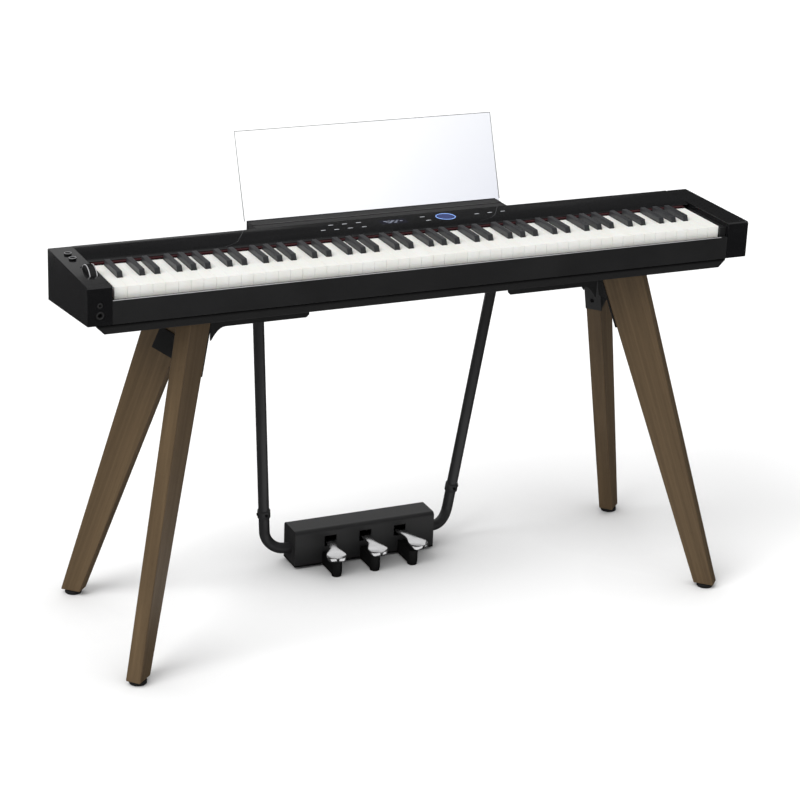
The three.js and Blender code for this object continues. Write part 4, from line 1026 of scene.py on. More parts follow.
def mark_tree() -> GeometryTree:
    """Thin bars on points, with a length that varies by a fixed seed."""
    tree = GeometryTree("panel_marks")
    for name in ("Length", "Depth", "Thickness", "Variation"):
        tree.size(name, float)
    tree.size("Seed", int)
    size = tree.node(
        "ShaderNodeCombineXYZ",
        {"X": tree.given("Length"), "Y": tree.given("Depth"), "Z": tree.given("Thickness")},
    )
    bar = tree.node("GeometryNodeMeshCube", {"Size": size.outputs["Vector"]})
    shortest = tree.node(
        "ShaderNodeMath", {0: 1.0, 1: tree.given("Variation")}, operation="SUBTRACT"
    )
    pick = tree.node("FunctionNodeRandomValue", data_type="FLOAT")
    sockets = [s for s in pick.inputs if s.type == "VALUE" and s.enabled]
    tree.tree.links.new(shortest.outputs[0], sockets[0])
    sockets[1].default_value = 1.0
    tree.tree.links.new(tree.given("Seed"), pick.inputs["Seed"])
    value = next(s for s in pick.outputs if s.type == "VALUE" and s.enabled)
    scale = tree.node("ShaderNodeCombineXYZ", {"X": value, "Y": 1.0, "Z": 1.0})
    placed = tree.node(
        "GeometryNodeInstanceOnPoints",
        {
            "Points": tree.given("Geometry"),
            "Instance": bar.outputs["Mesh"],
            "Scale": scale.outputs["Vector"],
        },
    )
    tree.end(placed.outputs["Instances"])
    return tree


def rib_tree() -> GeometryTree:
    """Ribs that stand round a turned piece, like the knurl of a knob."""
    tree = GeometryTree("knurl")
    tree.size("Count", int)
    for name in ("Reach", "Rib", "Height"):
        tree.size(name, float)
    circle = tree.node(
        "GeometryNodeMeshCircle", {"Vertices": tree.given("Count"), "Radius": tree.given("Reach")}
    )
    rib = tree.node(
        "GeometryNodeMeshCylinder",
        {"Vertices": 8, "Radius": tree.given("Rib"), "Depth": tree.given("Height")},
    )
    placed = tree.node(
        "GeometryNodeInstanceOnPoints",
        {"Points": circle.outputs["Mesh"], "Instance": rib.outputs["Mesh"]},
    )
    tree.end(placed.outputs["Instances"])
    return tree


def tube_tree() -> GeometryTree:
    """A round tube swept along a line."""
    tree = GeometryTree("swept_tube")
    tree.size("Radius", float)
    tree.size("Sides", int)
    line = tree.node("GeometryNodeMeshToCurve", {"Mesh": tree.given("Geometry")})
    ring = tree.node(
        "GeometryNodeCurvePrimitiveCircle",
        {"Resolution": tree.given("Sides"), "Radius": tree.given("Radius")},
    )
    swept = tree.node(
        "GeometryNodeCurveToMesh",
        {
            "Curve": line.outputs["Curve"],
            "Profile Curve": ring.outputs["Curve"], "Fill Caps": True
        },
    )
    tree.end(swept.outputs["Mesh"])
    return tree


@dataclass
class Trees:
    """The geometry trees that the sub-assemblies share."""

    screws: GeometryTree = field(default_factory=screw_tree)
    marks: GeometryTree = field(default_factory=mark_tree)
    ribs: GeometryTree = field(default_factory=rib_tree)
    tubes: GeometryTree = field(default_factory=tube_tree)


# ---------------------------------------------------------------- piano body
@dataclass
class Casing(SubAssembly):
    """Cheeks, case, key slip, gloss panel and felt."""

    lip_rise: float = 0.0012
    lip_depth: float = 0.0016

    def build(self) -> None:
        """Make and dress every piece."""
        for node in ("cheek_left", "cheek_right"):
            self.soften(node, Shop.CHEEK, 0.0012, 3)
        self.soften("keyslip", Shop.SLIP, 0.0010, 3)
        self.soften("top_panel", Shop.GLOSS, 0.00035)
        self.soften("bottom_case", Shop.CASE, 0.0006)
        self.soften("felt_strip", Shop.FELT, 0.0006, 3)
        self.slip_lip()

    def slip_lip(self) -> None:
        """The thin lip along the top of the key slip."""
        low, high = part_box("keyslip")
        panel_low, panel_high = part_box("top_panel")
        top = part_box("white_keys_bass")[0].z + 0.002
        lip = block_mesh(
            "slip_lip",
            (panel_low.x, low.y, top),
            (panel_high.x - 0.013, low.y + self.lip_depth, top + self.lip_rise),
            0.0004,
        )
        self.add("slip_lip", lip, Shop.SILVER, "keyslip")


@dataclass
class PanelControls(SubAssembly):
    """Display, touch ring, touch marks, knobs, wheel and front sockets."""

    trees: Trees | None = None
    mark_length: float = 0.0105
    mark_depth: float = 0.0022
    mark_thick: float = 0.0001
    # places of the touch marks: x, and how far each lies behind the display's middle
    mark_places: tuple[tuple[float, float], ...] = (
        (-0.1483, -0.0134), (-0.1216, -0.0155), (-0.0930, -0.0145), (-0.0645, -0.0146),
        (-0.1220, 0.0133), (-0.0935, 0.0132), (-0.0647, 0.0131),
        (0.0687, 0.0114), (0.0713, -0.0125),
        (0.1799, -0.0009), (0.2082, -0.0005), (0.2367, 0.0000),
    )
    bar_length: float = 0.0075
    ring_line: float = 0.0011
    ring_inset: float = 0.0028
    knob_gap: float = 0.0003
    cap_rise: float = 0.003
    cap_line: float = 0.0005
    wheel_line: float = 0.0009
    wheel_line_offset: float = 0.0066
    sleeve_line: float = 0.0006
    small_bore: float = 0.0019
    large_bore: float = 0.0035

    def build(self) -> None:
        """Make and dress every piece."""
        self.display()
        self.touch_marks()
        self.touch_ring()
        for node in ("knob_rear", "knob_front"):
            self.knob(node)
        self.wheel()
        for node in ("phone_jack_small", "phone_jack_large"):
            self.jack(node)

    def display(self) -> None:
        """The display window with rows of plain bars."""
        self.soften("display_window", Shop.GLASS, 0.0003)
        low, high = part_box("display_window")
        centre = (low + high) / 2
        rows = [
            (-0.016, 0.005), (-0.008, 0.005), (0.0, 0.005),
            (-0.014, 0.0), (-0.004, 0.0), (0.006, 0.0)
        ]
        rows += [(0.010, 0.0055), (0.016, 0.0005), (-0.010, -0.0055), (0.002, -0.0055)]
        points = [(centre.x + x, centre.y + y, high.z + self.mark_thick / 2) for x, y in rows]
        mesh = self.trees.marks.run(
            points_mesh("screen_bars", points),
            Material=Shop.SCREEN.material(), Length=self.bar_length, Depth=self.mark_depth,
            Thickness=self.mark_thick, Variation=0.5, Seed=4,
        )
        self.add("screen_bars", mesh, Shop.SCREEN, "display_window")

    def touch_marks(self) -> None:
        """Light dashes where the panel is touched."""
        low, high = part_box("display_window")
        middle = (low.y + high.y) / 2
        points = [(x, middle + y, high.z + self.mark_thick / 2) for x, y in self.mark_places]
        mesh = self.trees.marks.run(
            points_mesh("touch_marks", points),
            Material=Shop.MARK.material(), Length=self.mark_length, Depth=self.mark_depth,
            Thickness=self.mark_thick, Variation=0.15, Seed=2,
        )
        self.add("touch_marks", mesh, Shop.MARK, "top_panel")

    def touch_ring(self) -> None:
        """A blue line of light in a dimmer ring."""
        low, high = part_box("touch_ring")
        centre, radius = (low + high) / 2, (high.x - low.x) / 2
        self.soften("touch_ring", Shop.HALO, 0.0003)
        disc = [
            (0, 0.0), (radius - self.ring_inset, 0.0),
            (radius - self.ring_inset - self.mark_thick, self.mark_thick), (0, self.mark_thick)
        ]
        halo = moved(turned("halo", disc, 64), Matrix.Translation((centre.x, centre.y, high.z)))
        self.add("ring_halo", halo, Shop.HALO, "touch_ring")
        middle, reach = (centre.x, centre.y, high.z), radius - self.ring_line
        line = self.hoop("ring_line", middle, reach, "XY", Shop.RING, self.ring_line / 2, 96)
        self.add("ring_line", line, Shop.RING, "touch_ring")

    def hoop(
        self, name: str, middle: Point, reach: float, plane: str, finish: Shop,
        line: float, steps: int, sides: int = 8,
    ) -> bpy.types.Mesh:
        """A thin tube bent into a ring.

        Args:
            name: The mesh's name.
            middle: The ring's middle.
            reach: The ring's radius.
            plane: The two axes that the ring lies along.
            finish: What it is made of.
            line: The tube's radius.
            steps: The pieces round the ring.
            sides: The tube's sides.

        Returns:
            The ring's mesh, in place.
        """
        first, second = ("XYZ".index(axis) for axis in plane)
        points = []
        for turn in (FULL * i / steps for i in range(steps + 1)):
            point = list(middle)
            point[first] += reach * math.cos(turn)
            point[second] += reach * math.sin(turn)
            points.append(tuple(point))
        return self.trees.tubes.run(
            path_mesh(name, points), Material=finish.material(), Radius=line, Sides=sides
        )

    def knob(self, node: str) -> None:
        """A knurled knob with a silver ring.

        Args:
            node: The frame's node that it stands for.
        """
        low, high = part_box(node)
        centre = (low + high) / 2
        radius, foot = (high.x - low.x) / 2, CHEEK_TOP + self.knob_gap
        rise = self.cap_rise
        profile = [
            (0, low.z - foot), (0.003, low.z - foot), (0.003, 0.0),
            (radius * 0.9, 0.0), (radius * 0.93, 0.0006),
            (radius * 0.93, rise - 0.0012), (radius * 0.88, rise - 0.0002), (radius * 0.82, rise),
            (radius * 0.55, rise), (radius * 0.5, rise - 0.0005), (0, rise - 0.0005),
        ]
        place = Matrix.Translation((centre.x, centre.y, foot))
        self.add(f"{node}_cap", moved(turned(node, profile), place), Shop.CONTROL, node, [node])
        ribs = self.trees.ribs.run(
            points_mesh("knurl", [(0, 0, 0)]), Material=Shop.CONTROL.material(),
            Count=28, Reach=radius * 0.93, Rib=0.00045, Height=rise * 0.7,
        )
        lift = Matrix.Translation((centre.x, centre.y, foot + rise * 0.48))
        self.add(f"{node}_knurl", moved(ribs, lift), Shop.CONTROL, node)
        middle = (centre.x, centre.y, foot + rise)
        ring = self.hoop("rim", middle, radius * 0.9, "XY", Shop.SILVER, self.cap_line, 48)
        self.add(f"{node}_rim", ring, Shop.SILVER, node)

    def wheel(self) -> None:
        """The bend wheel, with silver rims and ribs across its tread."""
        node = "bend_wheel"
        self.soften(node, Shop.CONTROL, 0.0008)
        low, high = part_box(node)
        middle = Vector(((low.x + high.x) / 2, (low.y + high.y) / 2, (low.z + high.z) / 2))
        radius = (high.z - low.z) / 2
        ribs = self.trees.ribs.run(
            points_mesh("wheel_ribs", [(0, 0, 0)]), Material=Shop.CONTROL.material(),
            Count=44, Reach=radius, Rib=0.0005, Height=0.011,
        )
        turn = Matrix.Rotation(QUARTER, 4, "Y")
        self.add("wheel_ribs", moved(ribs, Matrix.Translation(middle), turn), Shop.CONTROL, node)
        for side in (-1, 1):
            place = (middle.x + side * self.wheel_line_offset, middle.y, middle.z)
            rim = self.hoop(
                "wheel_rim", place, radius, "YZ", Shop.SILVER, self.wheel_line, 72
            )
            self.add(f"wheel_rim_{'left' if side < 0 else 'right'}", rim, Shop.SILVER, node)

    def jack(self, node: str) -> None:
        """A phone socket with a turned metal sleeve.

        Args:
            node: The frame's node that it stands for.
        """
        low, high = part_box(node)
        centre, radius = (low + high) / 2, (high.x - low.x) / 2
        self.soften(node, Shop.CONTROL, 0.0004)
        bore = self.small_bore if node.endswith("small") else self.large_bore
        middle, reach = (centre.x, low.y, centre.z), (radius + bore) / 2
        rim = self.hoop(
            "sleeve", middle, reach, "XZ", Shop.SLEEVE, self.sleeve_line, 40, 10
        )
        self.add(f"{node}_sleeve", rim, Shop.SLEEVE, node)


@dataclass
class Keyboard(SubAssembly):
    """White and black keys."""

    white_edge: float = 0.0004
    white_swell: float = 0.00027
    black_edge: float = 0.0012

    def build(self) -> None:
        """Make and dress every key and bank."""
        for node in FRAME["nodes"]:
            if node.startswith(("white_keys", "key_")) and not node.endswith(("_sharp", "_frame")):
                mesh = rounded(swollen(merged_copy(node), self.white_swell), self.white_edge)
                self.add(f"{node}_finished", mesh, Shop.WHITE, node, [node])
            elif node.startswith("black_keys") or node.endswith("_sharp"):
                self.soften(node, Shop.BLACK, self.black_edge, 3)


@dataclass
class Inside(SubAssembly):
    """Key frame, boards, speakers and the sockets behind."""

    trees: Trees | None = None

    def build(self) -> None:
        """Make and dress every piece."""
        self.soften("key_frame", Shop.CASE, 0.0006)
        self.soften("contact_board", Shop.CIRCUIT, 0.0003)
        self.soften("main_board", Shop.CIRCUIT, 0.0003)
        self.soften("rear_socket_panel", Shop.CASE, 0.0004)
        for node in ("speaker_left", "speaker_right"):
            self.dress(node, Shop.PAPER)
        self.panel_screws()

    def panel_screws(self) -> None:
        """Screws at the corners of the rear socket panel."""
        low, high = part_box("rear_socket_panel")
        sides, levels = (low.x + 0.006, high.x - 0.006), (low.z + 0.005, high.z - 0.005)
        places = [(x, high.y, z) for x in sides for z in levels]
        mesh = self.trees.screws.run(
            points_mesh("panel_screws", places, [(0, 1, 0)] * len(places)),
            Material=Shop.SCREW.material(), Radius=0.0028, Height=0.0012, Slot=0.0007,
        )
        self.add("panel_screws", mesh, Shop.SCREW, "rear_socket_panel")


@dataclass
class MusicRest(SubAssembly):
    """The clear rest and its holder."""

    trees: Trees | None = None
    line_depth: float = 0.0016
    line_end: float = 0.012
    line_setbacks: tuple[float, float] = (0.0246, 0.0515)
    rim: float = 0.0009

    def build(self) -> None:
        """Make and dress every piece."""
        self.soften("rest_holder", Shop.CASE, 0.0015, 3)
        sheet = self.soften("music_rest", Shop.CLEAR, 0.0005)
        sheet.visible_glossy = False
        self.holder_lines()
        self.rest_rim()

    def holder_lines(self) -> None:
        """Two light lines along the top of the holder."""
        low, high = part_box("rest_holder")
        places = [(0.0, low.y + setback, high.z) for setback in self.line_setbacks]
        mesh = self.trees.marks.run(
            points_mesh("holder_lines", places),
            Material=Shop.HOLDER_LINE.material(), Length=high.x - low.x - 2 * self.line_end,
            Depth=self.line_depth, Thickness=0.0003, Variation=0.0, Seed=1,
        )
        self.add("holder_lines", mesh, Shop.HOLDER_LINE, "rest_holder")

    def rest_rim(self) -> None:
        """The grey rim that a clear sheet shows at its sides and top."""
        low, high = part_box("music_rest")
        holder_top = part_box("rest_holder")[1].z
        slope = (high.y - low.y) / (high.z - low.z)
        foot = Vector((0, high.y - slope * (high.z - holder_top) - 0.0015, holder_top + 0.001))
        head = Vector((0, high.y - 0.0016, high.z - 0.0006))
        left, right = Vector((low.x, 0, 0)), Vector((high.x, 0, 0))
        line = [foot + left, head + left, head + right, foot + right]
        mesh = self.trees.tubes.run(
            path_mesh("rest_rim", line),
            Material=Shop.REST_EDGE.material(), Radius=self.rim, Sides=6
        )
        self.add("rest_rim", mesh, Shop.REST_EDGE, "music_rest")


# ---------------------------------------------------------------- stand
@dataclass
class Stand(SubAssembly):
    """Rails, side plates, brackets, planks and pads."""

    trees: Trees | None = None
    foot_reach: float = 0.5596
    head_reach: float = 0.3152
    plate_setback: float = 0.0033
    plate_across: float = 0.2657
    screw_drops: tuple[float, float] = (0.094, 0.050)
    plank_azimuth: float = math.radians(46.769)
    plank_run: float = 0.2208
    plank_edge: float = 0.0022
    screw_radius: float = 0.0042

    def build(self) -> None:
        """Make and dress every piece."""
        self.soften("front_rail", Shop.RAIL, 0.0014, 3)
        self.soften("rear_bar", Shop.COATED, 0.0012)
        for side in ("left", "right"):
            self.soften(f"side_plate_{side}", Shop.COATED, 0.0008)
            self.soften(f"corner_bracket_{side}", Shop.COATED, 0.0006)
            for end in ("front", "back"):
                self.plank(end, side)
                self.soften(f"leg_pad_{end}_{side}", Shop.RUBBER, 0.0015, 3)
        self.bracket_screws()

    def plank(self, end: str, side: str) -> None:
        """One leg, with the grain along it.

        Args:
            end: "front" or "back".
            side: "left" or "right".
        """
        node = f"leg_{end}_{side}"
        low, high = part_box(node)
        way_x = 1 if side == "right" else -1
        way_y = 1 if end == "back" else -1
        azimuth = math.atan2(
            way_y * math.cos(self.plank_azimuth), way_x * math.sin(self.plank_azimuth)
        )
        lean = math.atan2(self.plank_run, high.z - low.z)
        finish = Walnut(f"walnut_{end}_{side}", azimuth=azimuth, lean=lean)
        self.soften(node, finish, self.plank_edge, 3)

    def bracket_screws(self) -> None:
        """Screws through the edge plates into the planks."""
        for side, way in (("left", -1), ("right", 1)):
            places, aims = [], []
            for forward in (-1, 1):
                for drop in self.screw_drops:
                    place, aim = self.edge_point(drop)
                    places.append((way * place.x, forward * place.y, place.z))
                    aims.append((way * aim.x, forward * aim.y, aim.z))
            node = f"corner_bracket_{side}"
            mesh = self.trees.screws.run(
                points_mesh("bracket_screws", places, aims),
                Material=Shop.SCREW.material(),
                Radius=self.screw_radius, Height=0.0018, Slot=0.0011,
            )
            self.add(f"bracket_screws_{side}", mesh, Shop.SCREW, node)

    def edge_point(self, drop: float) -> tuple[Vector, Vector]:
        """A place on the edge plate of the back right-hand plank.

        Args:
            drop: Distance below the head of the plank.

        Returns:
            The place and the way its surface faces.
        """
        foot, head, top = self.foot_reach, self.head_reach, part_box("leg_back_right")[1].z
        height = top - drop
        along = foot + (head - foot) * height / top - self.plate_setback
        across = self.plate_across
        sine, cosine = math.sin(self.plank_azimuth), math.cos(self.plank_azimuth)
        place = Vector((along * sine + across * cosine, along * cosine - across * sine, height))
        tilt = (foot - head) / top
        return place, Vector((-sine, -cosine, -tilt)).normalized()


# ---------------------------------------------------------------- pedal unit
@dataclass
class PedalUnit(SubAssembly):
    """Box, base, pedals and pipes."""

    trees: Trees | None = None
    pitch: float = 0.077
    fan: float = math.radians(12.2)
    fall: float = math.radians(3.5)
    top: float = 0.059
    reach: float = 0.084
    nose: float = 0.019
    swell: float = 0.054
    neck_half: float = 0.0104
    tread_half: float = 0.0208
    thickness: float = 0.006
    nose_height: float = 0.0125
    arm_half: float = 0.007
    arm_low: float = 0.0106
    pivot: float = 0.044
    hub_radius: float = 0.006
    pipe_radius: float = 0.011
    pipe_sides: int = 36
    squareness: float = 0.55
    crown: float = 0.0012
    first_run: float = 0.00015

    def build(self) -> None:
        """Make and dress every piece."""
        self.soften("pedal_box", Shop.PEDAL_BOX, 0.0008, 3)
        self.soften("pedal_base", Shop.STOPPER, 0.0008)
        for name, side in (("left", -1), ("middle", 0), ("right", 1)):
            self.pedal(name, side)
        for side, way in (("left", -1), ("right", 1)):
            self.pipe(side, way)

    def half_width(self, run: float) -> float:
        """Half the width of a tread.

        Args:
            run: Distance behind its tip.

        Returns:
            The half width.
        """
        if run < self.nose:
            return self.tread_half * math.sqrt(max(0.0, 1 - (1 - run / self.nose) ** 2))
        if run < self.swell:
            share = (run - self.nose) / (self.swell - self.nose)
            return self.neck_half + (self.tread_half - self.neck_half) * (
                0.5 + 0.5 * math.cos(math.pi * share)
            )
        return self.neck_half

    def depth(self, run: float) -> float:
        """Thickness of a tread at a distance behind its tip."""
        share = min(1.0, max(0.0, (run - 0.010) / 0.008))
        thick = self.nose_height + (self.thickness - self.nose_height) * share
        round_off = min(1.0, math.sqrt(max(0.0, run) / 0.006 + 0.04))
        return thick * round_off

    def section(self, run: float) -> list[Point]:
        """A ring round the tread, with a crowned top and round sides.

        Args:
            run: Distance behind the tip.

        Returns:
            The ring's points.
        """
        half, depth = max(self.half_width(run), 0.0004), self.depth(run)
        points = []
        for i in range(32):
            angle = FULL * i / 32
            c, s = math.cos(angle), math.sin(angle)
            x = half * math.copysign(abs(c) ** self.squareness, c)
            z = 0.5 * depth * math.copysign(abs(s) ** self.squareness, s) - 0.5 * depth
            crown = self.crown * (1 - (x / half) ** 2) if s > 0 else 0.0
            points.append((x, run - self.reach, z + crown * min(1.0, run / 0.01) - self.crown))
        return points

    def pedal(self, name: str, side: int) -> None:
        """A chromed tread on a black arm, with a dark screw in its nose.

        Args:
            name: "left", "middle" or "right".
            side: -1, 0 or 1.
        """
        node = f"pedal_{name}"
        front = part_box("pedal_box")[0].y
        place = (
            Matrix.Translation((side * self.pitch, front, self.top))
            @ Matrix.Rotation(side * self.fan, 4, "Z")
            @ Matrix.Rotation(self.fall, 4, "X")
        )
        nose = self.nose
        tip = [nose * (1 - math.cos(math.pi * i / 28)) for i in range(1, 15)]
        rest = [nose + (self.reach + self.pivot - nose) * i / 30 for i in range(1, 31)]
        tread = lofted(node, [self.section(run) for run in (self.first_run, *tip, *rest)])
        self.add(f"{node}_tread", moved(tread, place), Shop.CHROME, node, [node])
        arm = block_mesh(
            f"{node}_arm",
            (-self.arm_half, 0.012 - self.reach, -self.arm_low),
            (self.arm_half, self.pivot, -0.004),
            0.0012,
        )
        self.add(f"{node}_arm", moved(arm, place), Shop.CONTROL, node)
        hub_x = side * (self.pitch - self.pivot * math.tan(self.fan))
        half = self.neck_half
        profile = [(0, -half), (0.0052, -half), (self.hub_radius, 0.001 - half)]
        profile += [(self.hub_radius, half - 0.001), (0.0052, half), (0, half)]
        hub_z = self.top + self.pivot * math.tan(self.fall) - self.hub_radius
        seat = Matrix.Translation((hub_x, front + self.pivot, hub_z))
        seat = seat @ Matrix.Rotation(QUARTER, 4, "Y")
        self.add(f"{node}_hub", moved(turned("hub", profile, 28), seat), Shop.CONTROL, node)
        button = place @ Matrix.Translation((0, -self.reach + 0.0009, -0.0075))
        button = button @ Matrix.Rotation(QUARTER, 4, "X")
        disc = [(0, -0.001), (0.0024, -0.001), (0.0026, 0.0004), (0.0020, 0.0012), (0, 0.0012)]
        self.add(f"{node}_button", moved(turned("button", disc, 20), button), Shop.RUBBER, node)

    def pipe(self, side: str, way: int) -> None:
        """A bent pipe with its collar, lug and screws.

        Args:
            side: "left" or "right".
            way: -1 or 1.
        """
        line = self.pipe_line(way)
        joint = next(i for i, p in enumerate(line) if p.z < 0.118)
        upper = self.trees.tubes.run(
            path_mesh("upper", line[:joint]), Material=Shop.TUBE.material(),
            Radius=self.pipe_radius, Sides=self.pipe_sides,
        )
        self.add(
            f"upper_pipe_{side}_tube", upper, Shop.TUBE,
            f"upper_pipe_{side}", [f"upper_pipe_{side}"]
        )
        lower = self.trees.tubes.run(
            path_mesh("lower", line[joint - 1:]), Material=Shop.TUBE.material(),
            Radius=self.pipe_radius, Sides=self.pipe_sides,
        )
        self.add(
            f"lower_pipe_{side}_bend", lower, Shop.TUBE,
            f"lower_pipe_{side}", [f"lower_pipe_{side}"]
        )
        self.collar(side, line)
        self.lug(side, way, line[0])

    def pipe_line(self, way: int) -> list[Vector]:
        """Centre line of a pipe, from its head to inside the pedal box.

        Args:
            way: -1 or 1.

        Returns:
            Points about a millimetre apart in the bend.
        """
        box_low, box_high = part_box("pedal_box")
        head_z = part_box("leg_back_right")[1].z - 0.0058
        head = Vector((0.2562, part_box("rear_bar")[1].y + 0.0027 + self.pipe_radius, head_z))
        middle = (box_low.y + box_high.y) / 2
        foot = Vector((box_high.x + 0.0475, middle + 0.0162, 0.038))
        run = (foot - head) / (head.z - foot.z)
        bend_top = foot - run * 0.038
        pull_down = bend_top + run * 0.024
        bend_end = Vector((foot.x - 0.038, middle, 0.038))
        pull_out = bend_end + Vector((0.024, 0, 0))
        joint = foot - run * (0.118 - 0.038)
        line = [head, joint + (head - joint) * 0.002, joint - (head - joint) * 0.001, bend_top]
        for i in range(1, 25):
            t = i / 24
            point = bend_top * (1 - t) ** 3 + pull_down * 3 * t * (1 - t) ** 2
            line.append(point + pull_out * 3 * t * t * (1 - t) + bend_end * t**3)
        line.append(Vector((box_high.x - 0.002, middle, 0.038)))
        return [Vector((way * p.x, p.y, p.z)) for p in line]

    def collar(self, side: str, line: Sequence[Vector]) -> None:
        """The sleeve where the pipes join, with its side screw.

        Args:
            side: "left" or "right".
            line: The pipe's centre line.
        """
        axis = (line[0] - line[1]).normalized()
        middle = (line[1] + line[2]) / 2
        r = self.pipe_radius
        profile = [(0, -0.009), (r, -0.009), (r + 0.0016, -0.0086), (r + 0.0022, -0.0076)]
        profile += [(r + 0.0022, 0.0076), (r + 0.0016, 0.0086), (r, 0.009), (0, 0.009)]
        turn = Matrix.Translation(middle) @ axis.to_track_quat("Z", "Y").to_matrix().to_4x4()
        self.add(
            f"lower_pipe_{side}_collar", moved(turned("collar", profile), turn),
            Shop.TUBE, f"lower_pipe_{side}"
        )
        out = Vector((-1, 0, 0)) if side == "left" else Vector((1, 0, 0))
        ahead = Vector((0, -1, 0))
        places = [middle + out * (r + 0.0026), middle + ahead * (r + 0.0026)]
        mesh = self.trees.screws.run(
            points_mesh("collar_screws", places, [out, ahead]),
            Material=Shop.SCREW.material(), Radius=0.0032, Height=0.0022, Slot=0.0009,
        )
        self.add(f"collar_screws_{side}", mesh, Shop.SCREW, f"lower_pipe_{side}")

    def lug(self, side: str, way: int, head: Vector) -> None:
        """The lug that joins a pipe to the rear bar.

        Args:
            side: "left" or "right".
            way: -1 or 1; not used.
            head: The pipe's upper end.
        """
        bar_low, bar_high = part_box("rear_bar")
        low = (head.x - 0.016, bar_high.y + 0.0003, bar_low.z)
        high = (head.x + 0.016, bar_high.y + 0.006, bar_low.z + 0.020)
        plate = block_mesh("lug", low, high, 0.001)
        self.add(f"upper_pipe_{side}_lug", plate, Shop.TUBE, f"upper_pipe_{side}")
        places = [(head.x + x, high[1], bar_low.z + 0.010) for x in (-0.0128, 0.0128)]
        mesh = self.trees.screws.run(
            points_mesh("lug_screws", places, [(0, 1, 0)] * 2),
            Material=Shop.SCREW.material(), Radius=0.0030, Height=0.0016, Slot=0.0008,
        )
        self.add(f"lug_screws_{side}", mesh, Shop.SCREW, f"upper_pipe_{side}")


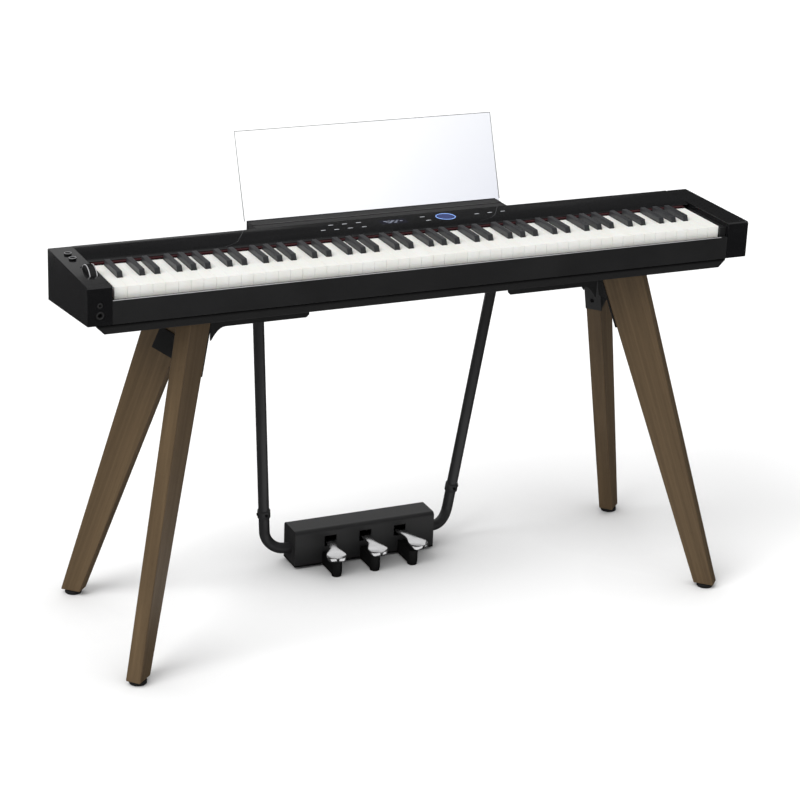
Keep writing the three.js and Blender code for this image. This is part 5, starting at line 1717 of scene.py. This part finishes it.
# ---------------------------------------------------------------- studio
@dataclass
class Studio:
    """Floor, light and camera."""

    camera_place: Point = (-1.80227, -3.84443, 2.04605)
    yaw: float = 0.4379
    pitch: float = -0.3689
    roll: float = 0.0401
    lens: float = 105.57
    sky: float = 0.86
    sun: float = 1.95
    gloss_low: float = 0.04
    gloss_high: float = 0.55

    def build(self) -> None:
        """Set up the whole studio."""
        self.floor()
        self.sky_light()
        self.key_light()
        for name, corners, glow in self.cards():
            self.card(name, corners, glow)
        self.camera()

    def floor(self) -> None:
        """A large pale floor, with painted shadow that darkens it near the objects."""
        form = bmesh.new()
        bmesh.ops.create_circle(form, cap_ends=True, segments=96, radius=30)
        mesh = plain_mesh("floor", form)
        form.free()
        graph = ShaderGraph("pale_floor_painted_shadow")
        # Painted shadow: ambient occlusion darkens the floor's colour close to the objects.
        near = graph.nodes.new("ShaderNodeAmbientOcclusion")
        near.inputs["Distance"].default_value = 0.22
        shades = ((0.0, 0.45), (0.7, 0.80), (0.92, 0.84), (1.0, 0.91))
        stops = [(place, (shade, shade, shade)) for place, shade in shades]
        graph.feed("Base Color", graph.ramp(near.outputs["AO"], stops))
        graph.set(Roughness=0.9, Specular_IOR_Level=0.0)
        mesh.materials.append(graph.material)
        floor = bpy.data.objects.new("floor", mesh)
        bpy.context.scene.collection.objects.link(floor)
        floor.visible_glossy = False

    def sky_light(self) -> None:
        """White all round for diffuse light, and a darker dome for gloss."""
        world = bpy.data.worlds.new("studio")
        bpy.context.scene.world = world
        world.use_nodes = True
        world.node_tree.nodes["Background"].inputs["Color"].default_value = (1, 1, 1, 1)
        world.node_tree.nodes["Background"].inputs["Strength"].default_value = self.sky
        world.cycles_visibility.glossy = False
        form = bmesh.new()
        bmesh.ops.create_uvsphere(form, u_segments=48, v_segments=32, radius=12)
        mesh = plain_mesh("gloss_dome", form)
        form.free()
        graph = ShaderGraph("gloss_dome_glow")
        height = graph.along((0, 0, 1), 7.5, 10.0)
        graph.feed("Emission Strength", graph.spread(height, self.gloss_low, self.gloss_high))
        self.gloss_only("gloss_dome", mesh, graph)

    def key_light(self) -> None:
        """A broad soft light from the front left."""
        data = bpy.data.lights.new("key", "SUN")
        data.energy = self.sun
        data.angle = math.radians(38)
        light = bpy.data.objects.new("key", data)
        aim = Vector((1.0, 0.35, -1.1))
        light.rotation_euler = aim.to_track_quat("-Z", "Y").to_euler()
        light.visible_glossy = False
        bpy.context.scene.collection.objects.link(light)

    def cards(self) -> list[tuple[str, list[Point], float]]:
        """Cards seen only in gloss: name, corners and brightness of each."""
        behind = [(-6.0, 3.0, -0.2), (1.1, 3.0, -0.2), (1.1, 3.0, 1.631), (-6.0, 3.0, 3.078)]
        below = [(-0.25, 0.8, 0.28), (1.0, 0.8, 0.28), (1.0, 0.8, 0.95), (-0.25, 0.8, 0.95)]
        front = [
            (-0.35, -0.35, 0.001), (0.5, -0.35, 0.001), (0.5, 0.06, 0.001), (-0.35, 0.06, 0.001)
        ]
        return [
            ("card_behind", behind, 0.42), ("card_below", below, 0.76), ("card_front", front, 0.85)
        ]

    def card(self, name: str, corners: list[Point], glow: float) -> None:
        """A card that lights nothing and shows only in gloss.

        Args:
            name: Its name.
            corners: Its corners in order.
            glow: Its brightness.
        """
        mesh = bpy.data.meshes.new(name)
        mesh.from_pydata(corners, [], [(0, 1, 2, 3)])
        graph = ShaderGraph(f"{name}_glow")
        graph.set(Emission_Strength=glow)
        self.gloss_only(name, mesh, graph)

    def gloss_only(self, name: str, mesh: bpy.types.Mesh, graph: ShaderGraph) -> None:
        """Stage a glowing mesh that only glossy rays meet.

        Args:
            name: Its name.
            mesh: Its mesh.
            graph: Its material's nodes, with the glow's strength set.
        """
        graph.set(
            Base_Color=(0, 0, 0, 1), Roughness=1.0,
            Specular_IOR_Level=0.0, Emission_Color=(1, 1, 1, 1)
        )
        mesh.materials.append(graph.material)
        stage = bpy.data.objects.new(name, mesh)
        bpy.context.scene.collection.objects.link(stage)
        stage.visible_camera = False
        stage.visible_diffuse = False
        stage.visible_transmission = False
        stage.visible_shadow = False

    def camera(self) -> None:
        """The camera."""
        data = bpy.data.cameras.new("camera")
        data.lens = self.lens
        data.sensor_width = 36
        data.clip_end = 200
        camera = bpy.data.objects.new("camera", data)
        bpy.context.scene.collection.objects.link(camera)
        ahead = Vector((
            math.sin(self.yaw) * math.cos(self.pitch),
            math.cos(self.yaw) * math.cos(self.pitch),
            math.sin(self.pitch),
        ))
        right = Vector((math.cos(self.yaw), -math.sin(self.yaw), 0))
        up = right.cross(ahead)
        across = math.cos(self.roll) * right + math.sin(self.roll) * up
        upward = -math.sin(self.roll) * right + math.cos(self.roll) * up
        turn = Matrix((across, upward, -ahead)).transposed().to_4x4()
        camera.matrix_world = Matrix.Translation(self.camera_place) @ turn
        bpy.context.scene.camera = camera


def main() -> None:
    """Build every sub-assembly and the studio."""
    logging.basicConfig(level=logging.INFO, format="%(name)s %(message)s")
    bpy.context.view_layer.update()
    trees = Trees()
    Casing().build()
    PanelControls(trees=trees).build()
    Keyboard().build()
    Inside(trees=trees).build()
    MusicRest(trees=trees).build()
    Stand(trees=trees).build()
    PedalUnit(trees=trees).build()
    Studio().build()
    bpy.context.scene.view_settings.view_transform = "Standard"


if __name__ == "__main__":
    main()
